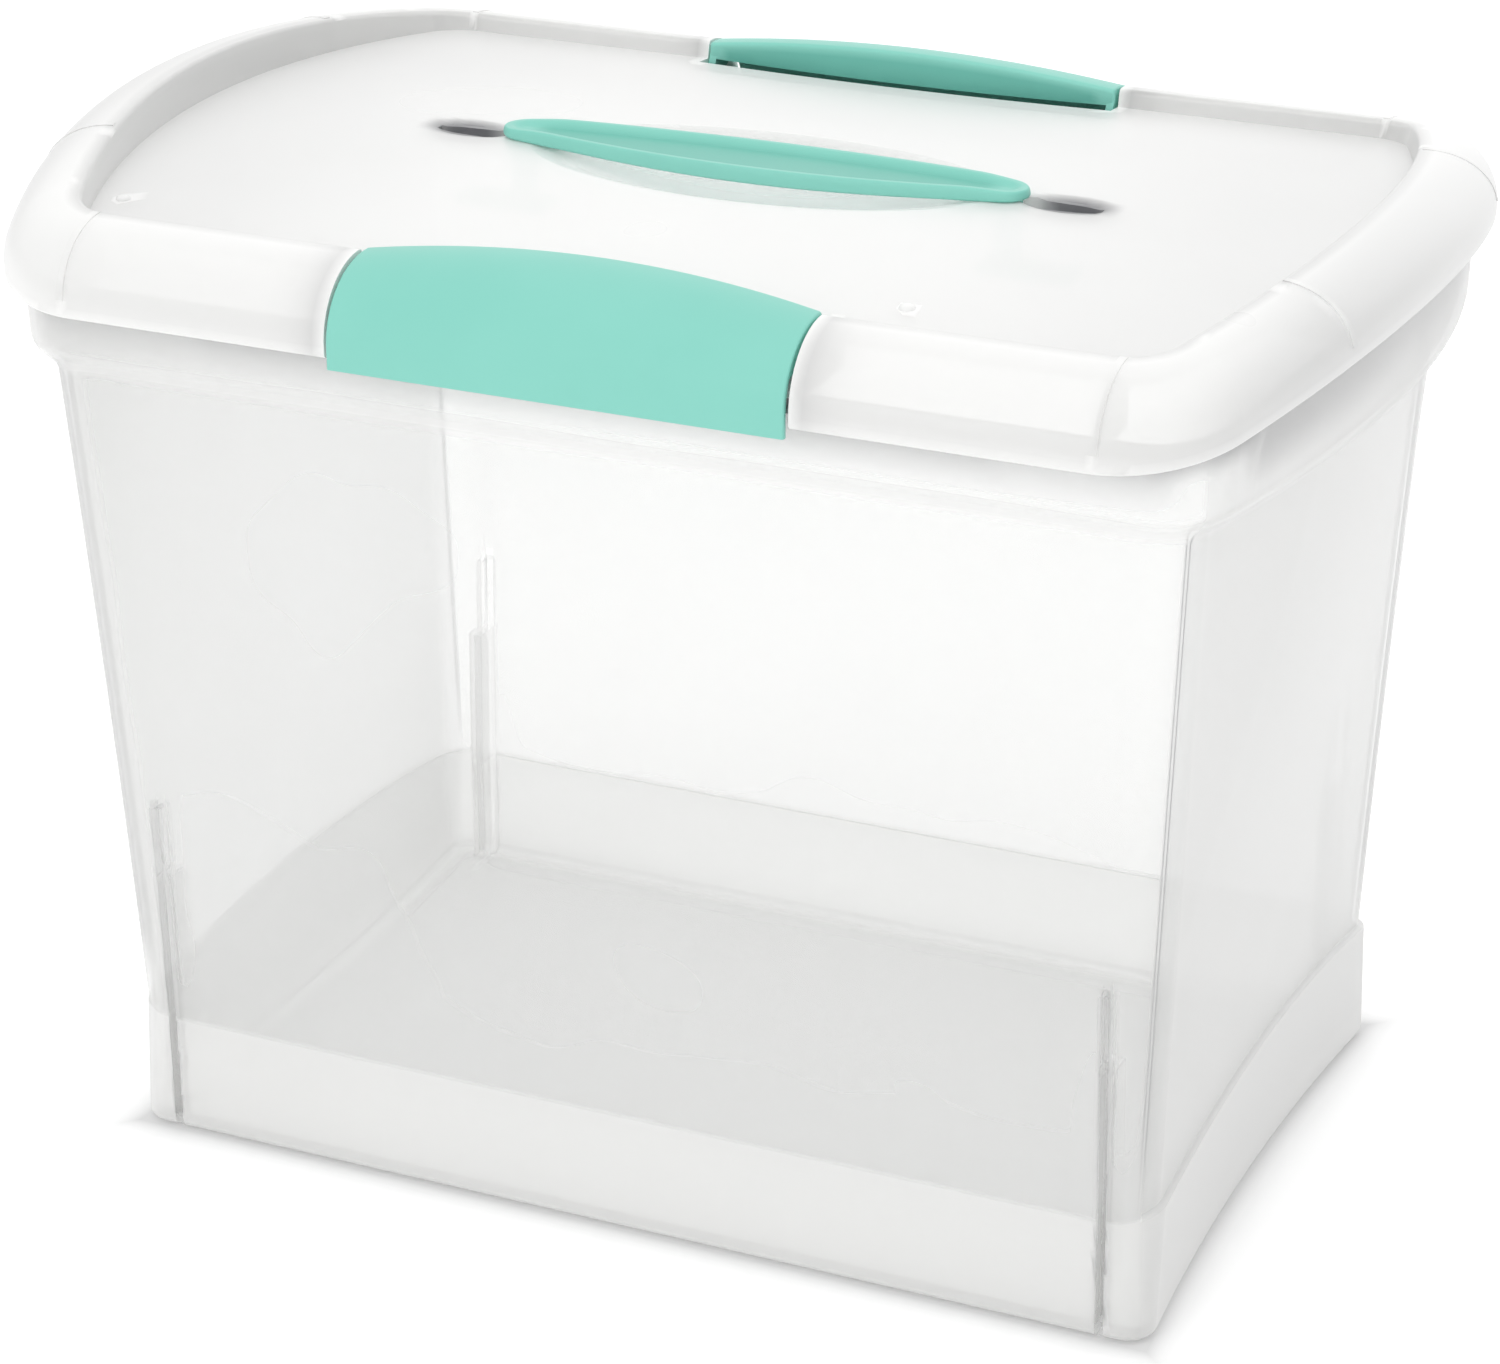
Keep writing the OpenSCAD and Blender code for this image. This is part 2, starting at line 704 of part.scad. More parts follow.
module latch() {
    color(teal)
        union() {
            latch_shell();
            for (sx = [-1, 1]) {
                translate([sx * (latch_hl - ear_t / 2) - ear_t / 2, 0, 0])
                    rotate([90, 0, 90])
                        linear_extrude(ear_t)
                            union() {
                                polygon(ear_outline(latch_hl - ear_t));
                                translate([hinge_y, hinge_z])
                                    circle(r = boss_r, $fn = 48);
                            }
                translate([sx * (latch_hl - ear_t), hinge_y, hinge_z])
                    rotate([0, sx * 90, 0])
                        cylinder(r = pin_r, h = ear_t + latch_side_gap + lid_t + boss_len - 1, $fn = 48);
            }
            // catch at the foot, just short of the rim flange
            catch_y = -(flange_level[1] + catch_gap);
            catch_z = skirt_z - latch_drop;
            translate([-latch_hl + 8, 0, 0])
                rotate([90, 0, 90])
                    linear_extrude(latch_l - 16)
                        polygon([
                            [-(lid_hw + latch_proud - latch_t / 2), catch_z],
                            [catch_y - 0.8, catch_z],
                            [catch_y, catch_z + catch_h / 2],
                            [catch_y, catch_z + catch_h],
                            [-(lid_hw + latch_proud - latch_t / 2), catch_z + catch_h + 0.8]
                        ]);
        }
}

module front_latch() {
    latch();
}

module back_latch() {
    mirror([0, 1, 0])
        latch();
}

// ---- handle ----

strap_n = 22;

tip_r = 5;              // radius of the tips in plan

// Half width of the strap at x: a long lens with round tips
function strap_hw(x) =
    let (
        s = abs(x) * 2 / handle_l,
        lens = tip_r + (handle_w / 2 - tip_r) * (1 - s * s),
        r = max(0, abs(x) - handle_l / 2 + tip_r) / tip_r
    )
    lens * sqrt(max(0, 1 - r * r));

// Section of the strap at x: two lips with a sunken web between them
function strap_section(x) =
    let (
        w = max(0.6, strap_hw(x)),
        s = min(1, w / 7),
        z = strap_z + strap_rise * (1 - pow(2 * x / handle_l, 2)),
        top = z + lip_h * (0.45 + 0.55 * s),
        web = z + web_t * (0.6 + 0.4 * s)
    )
    [
        [x, -w + 0.8 * s, z], [x, -w, z + 0.8],
        [x, -w + 0.1 * s, top - 0.7], [x, -w + 0.8 * s, top], [x, -w + 1.9 * s, top - 0.2],
        [x, -w * 0.62, web + 0.5 * s], [x, -w * 0.3, web], [x, w * 0.3, web], [x, w * 0.62, web + 0.5 * s],
        [x, w - 1.9 * s, top - 0.2], [x, w - 0.8 * s, top], [x, w - 0.1 * s, top - 0.7],
        [x, w, z + 0.8], [x, w - 0.8 * s, z]
    ];

module strap() {
    // stations close up towards the tips
    xs = [for (i = [0:strap_n]) handle_l / 2 * sin(90 * (2 * i / strap_n - 1)) * 0.999];
    rings = [for (x = xs) strap_section(x)];
    m = len(rings);
    n = len(rings[0]);
    sides = [
        for (j = [0:m - 2], i = [0:n - 1])
            let (k = (i + 1) % n, a = j * n + i, b = j * n + k, c = (j + 1) * n + k, d = (j + 1) * n + i)
            each [[a, b, c], [a, c, d]]
    ];
    ends = [
        for (i = [0:n / 2 - 2])
            let (a = i, b = i + 1, c = n - 2 - i, d = n - 1 - i, s = (m - 1) * n)
            each [[a, c, b], [a, d, c], [s + a, s + b, s + c], [s + a, s + c, s + d]]
    ];
    polyhedron(points = [for (r = rings) each r], faces = concat(sides, ends), convexity = 8);
}

module carry_handle() {
    color(teal)
        union() {
            strap();
            for (sx = [-1, 1]) {
                translate([sx * leg_pitch / 2 - leg_l / 2, -leg_t / 2, foot_z - foot_t / 2])
                    cube([leg_l, leg_t, strap_z - foot_z + foot_t / 2 + web_t / 2]);
                translate([sx * (leg_pitch / 2 - leg_l / 2 + foot_len / 2 - 4), 0, foot_z - foot_t / 2])
                    cube([foot_len, foot_w, foot_t], center = true);
            }
        }
}

box_body();
lid();
front_latch();
back_latch();
carry_handle();
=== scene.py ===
import math

import bmesh
import bpy
import numpy as np
from mathutils import Matrix, Vector


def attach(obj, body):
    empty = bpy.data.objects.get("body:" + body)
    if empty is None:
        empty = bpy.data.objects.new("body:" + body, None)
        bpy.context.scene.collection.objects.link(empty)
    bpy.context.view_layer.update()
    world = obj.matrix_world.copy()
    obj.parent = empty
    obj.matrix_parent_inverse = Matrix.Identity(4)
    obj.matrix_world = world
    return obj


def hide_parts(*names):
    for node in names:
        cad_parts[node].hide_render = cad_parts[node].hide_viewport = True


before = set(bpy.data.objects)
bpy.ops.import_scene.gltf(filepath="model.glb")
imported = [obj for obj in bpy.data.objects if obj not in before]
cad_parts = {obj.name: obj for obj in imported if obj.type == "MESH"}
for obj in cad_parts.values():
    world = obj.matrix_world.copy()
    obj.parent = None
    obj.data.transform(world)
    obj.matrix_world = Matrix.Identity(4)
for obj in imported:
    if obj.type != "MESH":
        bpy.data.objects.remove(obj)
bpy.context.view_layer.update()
print("frame loaded:", sorted(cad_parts))

# Levels of the box and the lid in mm: half length at the corner posts, half depth,
# bow of the ends (outwards is positive) and corner radius.
level = {
    "foot": np.array([164.4, 105.7, -4.6, 9.0]),
    "band": np.array([164.6, 105.9, -0.8, 14.0]),
    "rim": np.array([176.341, 115.803, 15.3, 16.0]),
    "flange": np.array([186.341, 132.703, 16.8, 34.1]),
    "lid": np.array([189.741, 136.103, 16.8, 37.5]),
}
corners = [(sx, sy) for sx in (-1, 1) for sy in (-1, 1)]


def smoothStep(t):
    # 0 below 0, 1 above 1 and t^2 (3 - 2 t) between
    t = np.clip(t, 0.0, 1.0)
    return t * t * (3 - 2 * t)


def makeMesh(name, verts, faces, smooth=True):
    # object from points in mm and a list of face arrays; its place is in the mesh, in metres
    mesh = bpy.data.meshes.new(name)
    faces = [np.asarray(f, dtype=np.int64) for f in faces if len(f)]
    sizes = np.concatenate([np.full(len(f), f.shape[1]) for f in faces])
    loops = np.concatenate([f.ravel() for f in faces])
    starts = np.concatenate([[0], np.cumsum(sizes)[:-1]])
    mesh.vertices.add(len(verts))
    mesh.vertices.foreach_set("co", (np.asarray(verts, dtype=np.float64) / 1000).ravel().astype(np.float32))
    mesh.loops.add(len(loops))
    mesh.loops.foreach_set("vertex_index", loops.astype(np.int32))
    mesh.polygons.add(len(sizes))
    mesh.polygons.foreach_set("loop_start", starts.astype(np.int32))
    mesh.polygons.foreach_set("loop_total", sizes.astype(np.int32))
    mesh.polygons.foreach_set("use_smooth", np.full(len(sizes), smooth))
    mesh.update(calc_edges=True)
    mesh.validate()
    obj = bpy.data.objects.new(name, mesh)
    bpy.context.scene.collection.objects.link(obj)
    return obj


def gridFaces(m, n, closeRows=False):
    # quads of an m by n grid of points: each row is a closed ring, and the last row joins the first where asked
    row, col = np.meshgrid(np.arange(m if closeRows else m - 1), np.arange(n), indexing="ij")
    nextRow, nextCol = (row + 1) % m, (col + 1) % n
    quads = [row * n + col, row * n + nextCol, nextRow * n + nextCol, nextRow * n + col]
    return np.stack(quads, -1).reshape(-1, 4)


def fanFaces(row, centre, flip=False):
    # triangles from a closed row of point numbers to a centre point
    t = np.stack([row, np.roll(row, -1), np.full(len(row), centre)], -1)
    return t[:, ::-1] if flip else t


def prism(plan, low, high, matrix=None):
    # closed prism on a plan of [x, y] points, from low to high, moved by the rows of a 3 by 4 matrix
    plan = np.asarray(plan, float)
    n = len(plan)
    pts = np.vstack([np.c_[plan, np.full(n, low)], np.c_[plan, np.full(n, high)]])
    if matrix is not None:
        pts = pts @ np.asarray(matrix)[:, :3].T + np.asarray(matrix)[:, 3]
    i = np.arange(n)
    j = (i + 1) % n
    sides = np.stack([i, j, j + n, i + n], -1)
    return pts, [sides, i[::-1][None, :], (i + n)[None, :]]


def merged(parts):
    # several (points, faces) sets as one set
    pts, faces, k = [], [], 0
    for p, fs in parts:
        pts.append(p)
        faces += [np.asarray(f) + k for f in fs]
        k += len(p)
    return np.vstack(pts), faces


def rounded(vertices, radii, n=5):
    # Polyline through rows of numbers. Each corner c between the points a and b is rounded by the curve
    # (1 - t)^2 a + 2 t (1 - t) c + t^2 b; lengths are measured on the first two numbers.
    most = 0.45
    v = [np.asarray(a, float) for a in vertices]
    out = [v[0]]
    t = np.linspace(0, 1, n + 1)[:, None]
    for i in range(1, len(v) - 1):
        r = radii[i]
        if r <= 0:
            out.append(v[i])
            continue
        la = np.hypot(*(v[i - 1] - v[i])[:2])
        lb = np.hypot(*(v[i + 1] - v[i])[:2])
        a = v[i] + (v[i - 1] - v[i]) * min(r, la * most) / la
        b = v[i] + (v[i + 1] - v[i]) * min(r, lb * most) / lb
        out += list((1 - t) ** 2 * a + 2 * t * (1 - t) * v[i] + t ** 2 * b)
    out.append(v[-1])
    return np.array(out)


def weightNormals(obj):
    # normals weighted by the area of the faces, so that large faces stay flat beside small roundings
    mod = obj.modifiers.new("faceWeightedNormals", "WEIGHTED_NORMAL")
    mod.mode = "FACE_AREA"
    mod.weight = 50
    mod.keep_sharp = True


def applyModifiers(obj):
    # the mesh as its modifiers leave it takes the place of the old one
    deps = bpy.context.evaluated_depsgraph_get()
    mesh = bpy.data.meshes.new_from_object(obj.evaluated_get(deps))
    obj.modifiers.clear()
    old = obj.data
    obj.data = mesh
    bpy.data.meshes.remove(old)


def boolean(obj, cutter, operation):
    # a closed object joined to this one or cut from it, and then removed
    mod = obj.modifiers.new(operation.lower(), "BOOLEAN")
    mod.operation = operation
    mod.object = cutter
    mod.solver = "MANIFOLD"
    applyModifiers(obj)
    bpy.data.objects.remove(cutter)


def cornerCentre(post, depth, bow, rad):
    # The end is an arc of radius (half^2 + bow^2) / (2 bow), and the corner's arc touches it and the straight
    # side. Returns half, that radius, the x of the arc's centre and the x of the corner's centre.
    half = depth - rad
    re = (half ** 2 + bow ** 2) / (2 * bow)
    xc = post + bow - re
    return half, re, xc, xc + np.sign(re) * np.sqrt((re - rad) ** 2 - half ** 2)


def insetOf(lv, x, y):
    # distance in plan from the outline of a level, inwards
    half, re, xc, cx = cornerCentre(*lv)
    ax, ay = np.abs(x), np.abs(y)
    straight = np.minimum(lv[1] - ay, np.sign(re) * (np.abs(re) - np.hypot(ax - xc, ay)))
    return np.where((ax > cx) & (ay > half), lv[3] - np.hypot(ax - cx, ay - half), straight)


def fourQuarters(quarter, signX, signY):
    # The numbers of a quarter carried round the whole outline: as they are, mirrored in x, turned by half and
    # mirrored in y. The signs say which mirror turns the numbers' sign; doubled points are left out.
    back = quarter[..., -2::-1]
    return np.concatenate([quarter, signX * back, signX * signY * quarter[..., 1:], signY * back[..., :-1]], -1)


outlineSpec = {
    "crease": 45, "creaseHalf": 1.6, "sideSpan": 155.0, "recessRun": 14.0, "recessSteps": 9, "recessBlend": 12.0,
}


def outline(lv, inset, endRecess, sideRecess, counts, sideX=None):
    # Closed outlines, one row per level, from four runs of a quarter: the end's arc, the corner's arc up to the
    # crease and after it, and the side, which is set back smoothly from the corner inwards.
    # Returns x, y and the share of the end's arch at a point, 1 - (y / half depth)^2.
    o = outlineSpec
    lv = np.atleast_2d(lv)
    post, depth, bow, rad = [lv[:, i:i + 1] for i in range(4)]
    inset, endRecess, sideRecess = [
        np.reshape(a, (-1, 1)) * np.ones((len(lv), 1)) for a in (inset, endRecess, sideRecess)]
    half, re, xc, cx = cornerCentre(post, depth, bow, rad)
    sign = np.sign(re)
    a0 = sign * np.arctan2(half, np.abs(cx - xc))
    nEnd, nCorner, nCrease, nSide = counts
    creaseAt, creaseHalf = math.radians(o["crease"]), math.radians(o["creaseHalf"])
    # end
    s = np.linspace(0, 1, nEnd + 1)[None, :]
    x1 = xc + (re - inset - endRecess) * np.cos(a0 * s)
    y1 = (re - inset - endRecess) * np.sin(a0 * s)
    # first half of the corner, still set back with the end panel
    s = np.linspace(0, 1, nCorner + 1)[None, 1:]
    a = a0 + (creaseAt - creaseHalf - a0) * s
    x2, y2 = cx + (rad - inset - endRecess) * np.cos(a), half + (rad - inset - endRecess) * np.sin(a)
    # crease
    s = np.linspace(0, 1, nCrease + 1)[None, 1:]
    a = creaseAt - creaseHalf + 2 * creaseHalf * s
    r = rad - inset - endRecess * (1 - smoothStep(s))
    x3, y3 = cx + r * np.cos(a), half + r * np.sin(a)
    # second half of the corner
    s = np.linspace(0, 1, nCorner + 1)[None, 1:-1]
    a = creaseAt + creaseHalf + (math.pi / 2 - creaseAt - creaseHalf) * s
    x4, y4 = cx + (rad - inset) * np.cos(a), half + (rad - inset) * np.sin(a)
    # side
    if sideX is None:
        d = np.concatenate([np.linspace(0, o["recessRun"], o["recessSteps"]),
                            np.linspace(o["recessRun"], o["sideSpan"], nSide + 1)[1:]])[None, :]
        x5 = cx * (1 - d / o["sideSpan"])
    else:
        x5 = np.concatenate([[0], np.asarray(sideX, float)])[None, :] * np.ones_like(cx)
        x5[:, :1] = cx
    y5 = depth - inset - sideRecess * smoothStep((cx - x5) / o["recessBlend"])
    x = np.hstack([x1, x2, x3, x4, x5])
    y = np.hstack([y1, y2, y3, y4, y5])
    arch = 1 - (y / (depth - inset)) ** 2
    arch[:, -x5.shape[1]:] = 0
    return fourQuarters(x, -1, 1), fourQuarters(y, 1, -1), fourQuarters(arch, 1, 1)


boxSpec = {
    "wall": 2.0, "floor": 2.4, "bandHeight": 38.0, "bandRise": 10.0, "wallHeight": 248.0, "rimHeight": 277.0,
    "endRecess": 1.8, "sideRecess": 0.9, "belly": 0.8, "collarOut": 6.5, "collarGrow": 7.5, "collarSlope": 6.0,
    "collarLean": 0.5, "collarRise": 4.4, "endRise": 18.0, "flangeThick": 2.2, "ledge": 0.8, "inside": 1.0,
    "footRound": 3.0, "floorRound": 2.6, "finPitch": 300.0, "finWidth": 4.6, "finSkin": 1.3, "finDeep": 9.0,
    "finShallow": 3.2, "finStep": 86.0, "finTop": 111.0, "finChamfer": 0.35, "finRound": 0.5,
}


def wallBelly(t):
    # how far a long wall bends inwards at the share t of its height, a parabola
    return boxSpec["belly"] * 4 * t * (1 - t)


def boxRows():
    # Section of the box as rows of [outward, height, level x4, inset, end recess, side recess, rise],
    # from the edge of the foot up the outside, over the rim and down the inside to the floor.
    s = boxSpec
    rows, radii = [], []

    def row(lv, inset, z, rise=0.0, recess=0.0, r=0.0):
        # r rounds the corner of the section at this row
        er, sr = s["endRecess"] * recess, s["sideRecess"] * recess
        rows.append([lv[1] - inset - sr, z, *lv, inset, er, sr, rise])
        radii.append(r)

    foot, band, rim, flange = level["foot"], level["band"], level["rim"], level["flange"]

    def wallRows(offset, shares):
        z0, z1 = s["bandHeight"] + s["ledge"], s["wallHeight"]
        for t in shares:
            row(band + (rim - band) * t, offset + wallBelly(t), z0 + (z1 - z0) * t,
                s["bandRise"] + (s["collarRise"] - s["bandRise"]) * t, 1)

    def bandRows(offset, low, shares):
        for t in shares:
            row(foot + (band - foot) * t, offset, low + (s["bandHeight"] - low) * t, s["bandRise"] * t)

    w, h, top = s["wall"], s["wallHeight"], s["rimHeight"]
    quarterTurn = np.linspace(0, math.pi / 2, 7)
    wallShares, bandShares = np.linspace(0, 1, 9)[1:-1], (0.25, 0.5, 0.75)
    collar = h + s["collarSlope"]
    middle = (collar + top) / 2, (s["collarRise"] + s["endRise"]) / 2
    for a in quarterTurn:
        row(foot, s["footRound"] * (1 - math.sin(a)), s["footRound"] * (1 - math.cos(a)))
    bandRows(0, s["footRound"], bandShares)
    row(band, 0, s["bandHeight"], s["bandRise"], r=0.35)
    row(band, 0, s["bandHeight"] + s["ledge"], s["bandRise"], 1, r=0.3)
    wallRows(0, wallShares)
    row(rim, 0, h, s["collarRise"], 1, r=2.2)
    row(rim, -s["collarOut"], collar, s["collarRise"], r=2.6)
    row(rim, -s["collarOut"] - s["collarLean"], *middle)
    row(rim, -s["collarGrow"], top - s["flangeThick"], s["endRise"], r=0.8)
    row(flange, 0, top - s["flangeThick"], s["endRise"], r=0.4)
    row(flange, 0, top, s["endRise"], r=0.7)
    row(rim, w - s["collarGrow"], top, s["endRise"], r=1.2)
    row(rim, w - s["collarOut"] - s["collarLean"], *middle)
    row(rim, w - s["collarOut"], collar + s["inside"], s["collarRise"], r=2.2)
    row(rim, w, h + s["inside"], s["collarRise"], 1, r=2.6)
    wallRows(w, wallShares[::-1])
    row(band, w, s["bandHeight"] + s["ledge"], s["bandRise"], 1, r=0.3)
    row(band, w, s["bandHeight"], s["bandRise"], r=0.3)
    f = s["floorRound"]
    bandRows(w, s["floor"] + f, bandShares[::-1])
    for a in quarterTurn:
        row(foot, w + f * (1 - math.cos(a)), s["floor"] + f * (1 - math.sin(a)))
    return rounded(rows, radii)


def wallShare(z):
    # share of the way up the wall, 0 up to the band and 1 from the collar on
    s = boxSpec
    return np.clip((z - s["bandHeight"]) / (s["wallHeight"] - s["bandHeight"]), 0, 1)


def wallDepth(z):
    # inner face of the long walls at height z, where their panel is set back
    s, t = boxSpec, wallShare(z)
    outer = level["band"][1] + (level["rim"][1] - level["band"][1]) * t
    return outer - s["sideRecess"] - s["wall"] - wallBelly(t)


def finBar(width, reach, deep, shallow, low, step, top):
    # Bar of a fin, deep up to its step and shallow above it, with a half-round top: half its width there is
    # sqrt(r^2 - rise^2). Rows run up the fin; each is a rectangle from the wall to the bevelled free edge.
    s = boxSpec
    r = width / 2
    tops = top - r + r * np.sin(np.linspace(0, math.pi / 2, 9))
    z = np.concatenate([[low, (low + step) / 2, step - s["finRound"] - 0.1, step],
                        np.linspace(step + 0.01, top - r, 4), tops[1:]])
    d = np.where(z <= step - s["finRound"], deep, shallow)
    d = np.where(np.isclose(z, step), deep - s["finRound"], d)
    half = np.where(z > top - r, np.sqrt(np.maximum(r ** 2 - (z - top + r) ** 2, 1e-4)), r)
    y0 = wallDepth(z) + reach
    y1 = wallDepth(z) - d
    c = np.minimum(s["finChamfer"], half * 0.4)
    ring = np.stack([
        np.stack([-half, y0, z], -1), np.stack([-half, y1 + c, z], -1), np.stack([-half + c, y1, z], -1),
        np.stack([half - c, y1, z], -1), np.stack([half, y1 + c, z], -1), np.stack([half, y0, z], -1)], 1)
    m, n = ring.shape[:2]
    pts = ring.reshape(-1, 3)
    ends = [np.arange(n)[::-1][None, :], (np.arange(n) + (m - 1) * n)[None, :]]
    return pts, [gridFaces(m, n)] + ends


def fourFins(*sizes):
    parts = []
    for sx, sy in corners:
        points, faces = finBar(*sizes)
        parts.append((points * [1, sy, 1] + [sx * boxSpec["finPitch"] / 2, 0, 0],
                      [f if sy > 0 else f[:, ::-1] for f in faces]))
    return merged(parts)


def outwards(obj, merge=False):
    # the faces of a closed mesh turned outwards, doubled points merged first where asked
    bm = bmesh.new()
    bm.from_mesh(obj.data)
    if merge:
        bmesh.ops.remove_doubles(bm, verts=bm.verts, dist=2e-6)
    bmesh.ops.recalc_face_normals(bm, faces=bm.faces)
    bm.to_mesh(obj.data)
    bm.free()
    return obj


def paint(obj, **fields):
    # a number at each point, from a function of its place in mm, for the materials to read
    n = len(obj.data.vertices)
    co = np.empty(n * 3, np.float32)
    obj.data.vertices.foreach_get("co", co)
    x, y, z = (co.reshape(-1, 3) * 1000).T
    for name, field in fields.items():
        layer = obj.data.attributes.new(name, "FLOAT", "POINT")
        layer.data.foreach_set("value", np.asarray(field(x, y, z) * np.ones(n), np.float32))


def combine(obj, parts, operation):
    # closed (points, faces) sets joined to an object or cut from it, one after another
    for points, faces in parts:
        boolean(obj, outwards(makeMesh("tool", points, faces)), operation)


def near(value, centre, width):
    # 1 at the centre, smoothly down to 0 at the width
    return smoothStep(1 - np.abs(value - centre) / width)


# Tones of the box: places and widths in mm, crease and cornerEnd in degrees, the rest are strengths from 0 to 1.
boxTone = {
    "crease": 45, "creaseHalf": 3.2, "wallLow": 40, "wallHigh": 252, "band": 0.14, "bandHalf": 1.2,
    "collarCorner": 99.8, "lidCorner": 98.6, "cornerGrow": 1.667, "endShrink": 0.988, "skirtSide": 264.3,
    "skirtSideRun": 2.6, "skirtEnd": 253, "skirtEndRun": 9, "skirtEndTone": 0.6, "finHalf": 3.6, "finFrom": 84,
    "barIn": 7, "bar": 0.5, "floorEdgeHeight": 3.9, "floorEdgeHalf": 1.5, "floorEdgeShade": 0.4, "end": 0.16, "cornerEnd": 45,
    "cornerRun": 2.4, "finThin": 0.85, "floorThin": 0.72, "floorInset": 4, "floorHigh": 5.5,
}


def finZone(x, y, z, depth, top):
    # 1 along the middle of each fin, from its root at this depth of y and up to its top
    b = boxTone
    inside = (np.abs(y) < depth) * (np.abs(y) > b["finFrom"]) * (z > 4) * (z < top)
    return near(np.abs(x), boxSpec["finPitch"] / 2, b["finHalf"]) * inside


def boxShade(x, y, z):
    # Painted shade: darker along the crease of each corner, at the step of the band, under the skirt of the lid, in the
    # fins, along the rounding of the floor inside the foot and on the end panels up to the crease; the strongest of
    # them counts.
    s, b = boxSpec, boxTone
    ax, ay, t = np.abs(x), np.abs(y), wallShare(z)
    at = [level["band"][i] + (level["rim"][i] - level["band"][i]) * t for i in range(4)]
    at[2] = np.where(np.abs(at[2]) < 0.05, 0.05, at[2])
    half, _, _, cx = cornerCentre(*at)
    turn = np.degrees(np.arctan2(ay - half, ax - cx))
    wall = smoothStep((z - b["wallLow"]) / 3) * smoothStep((b["wallHigh"] - z) / 4)
    crease = near(turn, b["crease"], b["creaseHalf"]) * wall * (ax > cx) * (ay > half)
    arch = np.where(ax > 150, 1 - (y / level["band"][1]) ** 2, 0)
    bandStep = near(z - s["bandRise"] * arch, s["bandHeight"] + s["ledge"] / 2, b["bandHalf"]) * b["band"]
    # the skirt's rise at the same direction from the middle: the lid's corner is wider than the collar's
    lidY = np.where(ay > b["collarCorner"], b["lidCorner"] + (ay - b["collarCorner"]) * b["cornerGrow"],
                    ay * b["endShrink"])
    rise = s["endRise"] * np.maximum(0, 1 - (lidY / level["lid"][1]) ** 2) * (ax > 120)
    skirtLine = np.where(ay > half, smoothStep((z - rise - b["skirtSide"]) / b["skirtSideRun"]),
                         smoothStep((z - rise - b["skirtEnd"]) / b["skirtEndRun"]) * b["skirtEndTone"])
    bar = finZone(x, y, z, wallDepth(z) - b["barIn"], s["finStep"]) * b["bar"]
    # painted shade along the rounding where the floor meets the walls inside the foot
    floorEdgeShade = near(z, b["floorEdgeHeight"], b["floorEdgeHalf"]) * (insetOf(level["foot"], x, y) > 1.0) * b["floorEdgeShade"]
    end = b["end"] * smoothStep((b["cornerEnd"] - turn) / b["cornerRun"]) * (z > 6)
    return np.maximum.reduce([crease, bandStep, skirtLine, bar, floorEdgeShade, end])


def boxMilk(x, y, z):
    # less haze in the fins, and in the floor beside them
    b = boxTone
    fin = finZone(x, y, z, wallDepth(z) + 1.6, boxSpec["finTop"] + 1)
    floor = smoothStep((insetOf(level["foot"], x, y) - b["floorInset"]) / 3) * (z < b["floorHigh"])
    return 1 - b["finThin"] * fin - b["floorThin"] * floor * (1 - fin)


def makeBox():
    # the wall's section carried round, its first and last rows drawn in to the middles, then fins and grooves
    rows = boxRows()
    x, y, arch = outline(rows[:, 2:6], rows[:, 6], rows[:, 7], rows[:, 8], (30, 10, 6, 14))
    z = rows[:, 1:2] + rows[:, 9:10] * arch
    shrink = np.array([0.04, 0.2, 0.4, 0.6, 0.78, 0.9, 0.97])[:, None]
    x, y = [np.vstack([a[:1] * shrink, a, a[-1:] * shrink[::-1]]) for a in (x, y)]
    z = np.vstack([z[:1] + 0 * shrink, z, z[-1:] + 0 * shrink])
    m, n = x.shape
    pts = np.stack([x, y, z], -1).reshape(-1, 3)
    pts = np.vstack([pts, [0, 0, rows[0, 1]], [0, 0, rows[-1, 1]]])
    ring = np.arange(n)
    faces = [gridFaces(m, n), fanFaces(ring, m * n, flip=True), fanFaces(ring + (m - 1) * n, m * n + 1)]
    box = outwards(makeMesh("fileBox", pts, faces))
    s = boxSpec
    fins = fourFins(s["finWidth"], s["wall"] / 2, s["finDeep"], s["finShallow"], s["floor"] / 2, s["finStep"],
                    s["finTop"])
    combine(box, [fins], "UNION")
    k = s["finSkin"]
    grooves = fourFins(s["finWidth"] - 2 * k, 8, s["finDeep"] - k, s["finShallow"] - k, s["floor"] + 2 * k,
                       s["finStep"] - k, s["finTop"] - k)
    combine(box, [grooves], "DIFFERENCE")
    box.data.polygons.foreach_set("use_smooth", np.ones(len(box.data.polygons), bool))
    weightNormals(box)
    return box


fileBox = makeBox()
paint(fileBox, shade=boxShade, milk=boxMilk)
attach(fileBox, "box")
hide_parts("box_body")
print("box:", len(fileBox.data.polygons), "faces")


lidSpec = {
    "thick": 2.0, "skirtLow": 272.0, "skirt": 3.2, "rimWidth": 21.7, "ridge": 24.3, "ridgeFlat": 1.0,
    "wallRun": 1.6, "endRise": 18.0, "ridgeRise": 11.8, "panelSink": 5.3, "crown": 5.0, "dishLength": 72.0,
    "dishWidth": 33.0, "dishDepth": 10.0, "bayHalf": 68.5, "bayGap": 5.8, "ribX": 152.0, "ribY": 68.0,
    "ribWidth": 2.2, "bead": 0.28, "ribGap": 0.3, "bayColumns": 18, "scoopX": 93.5, "scoopLength": 14.0,
    "scoopWidth": 7.5, "scoopDepth": 2.6,
}
latchSpec = {
    "half": 67.5, "thick": 2.2, "proud": 1.0, "drop": 2.8, "crownRise": 5.2, "bulge": 3.6, "pinRadius": 2.0,
    "pinPlay": 0.06, "pinDrop": 9.8, "bossWall": 1.7, "earThick": 2.4, "catchGap": 0.3, "catchHeight": 2.2,
    "catchIn": 8.0, "bevel": 0.7,
}
lidHalf = level["lid"][1]
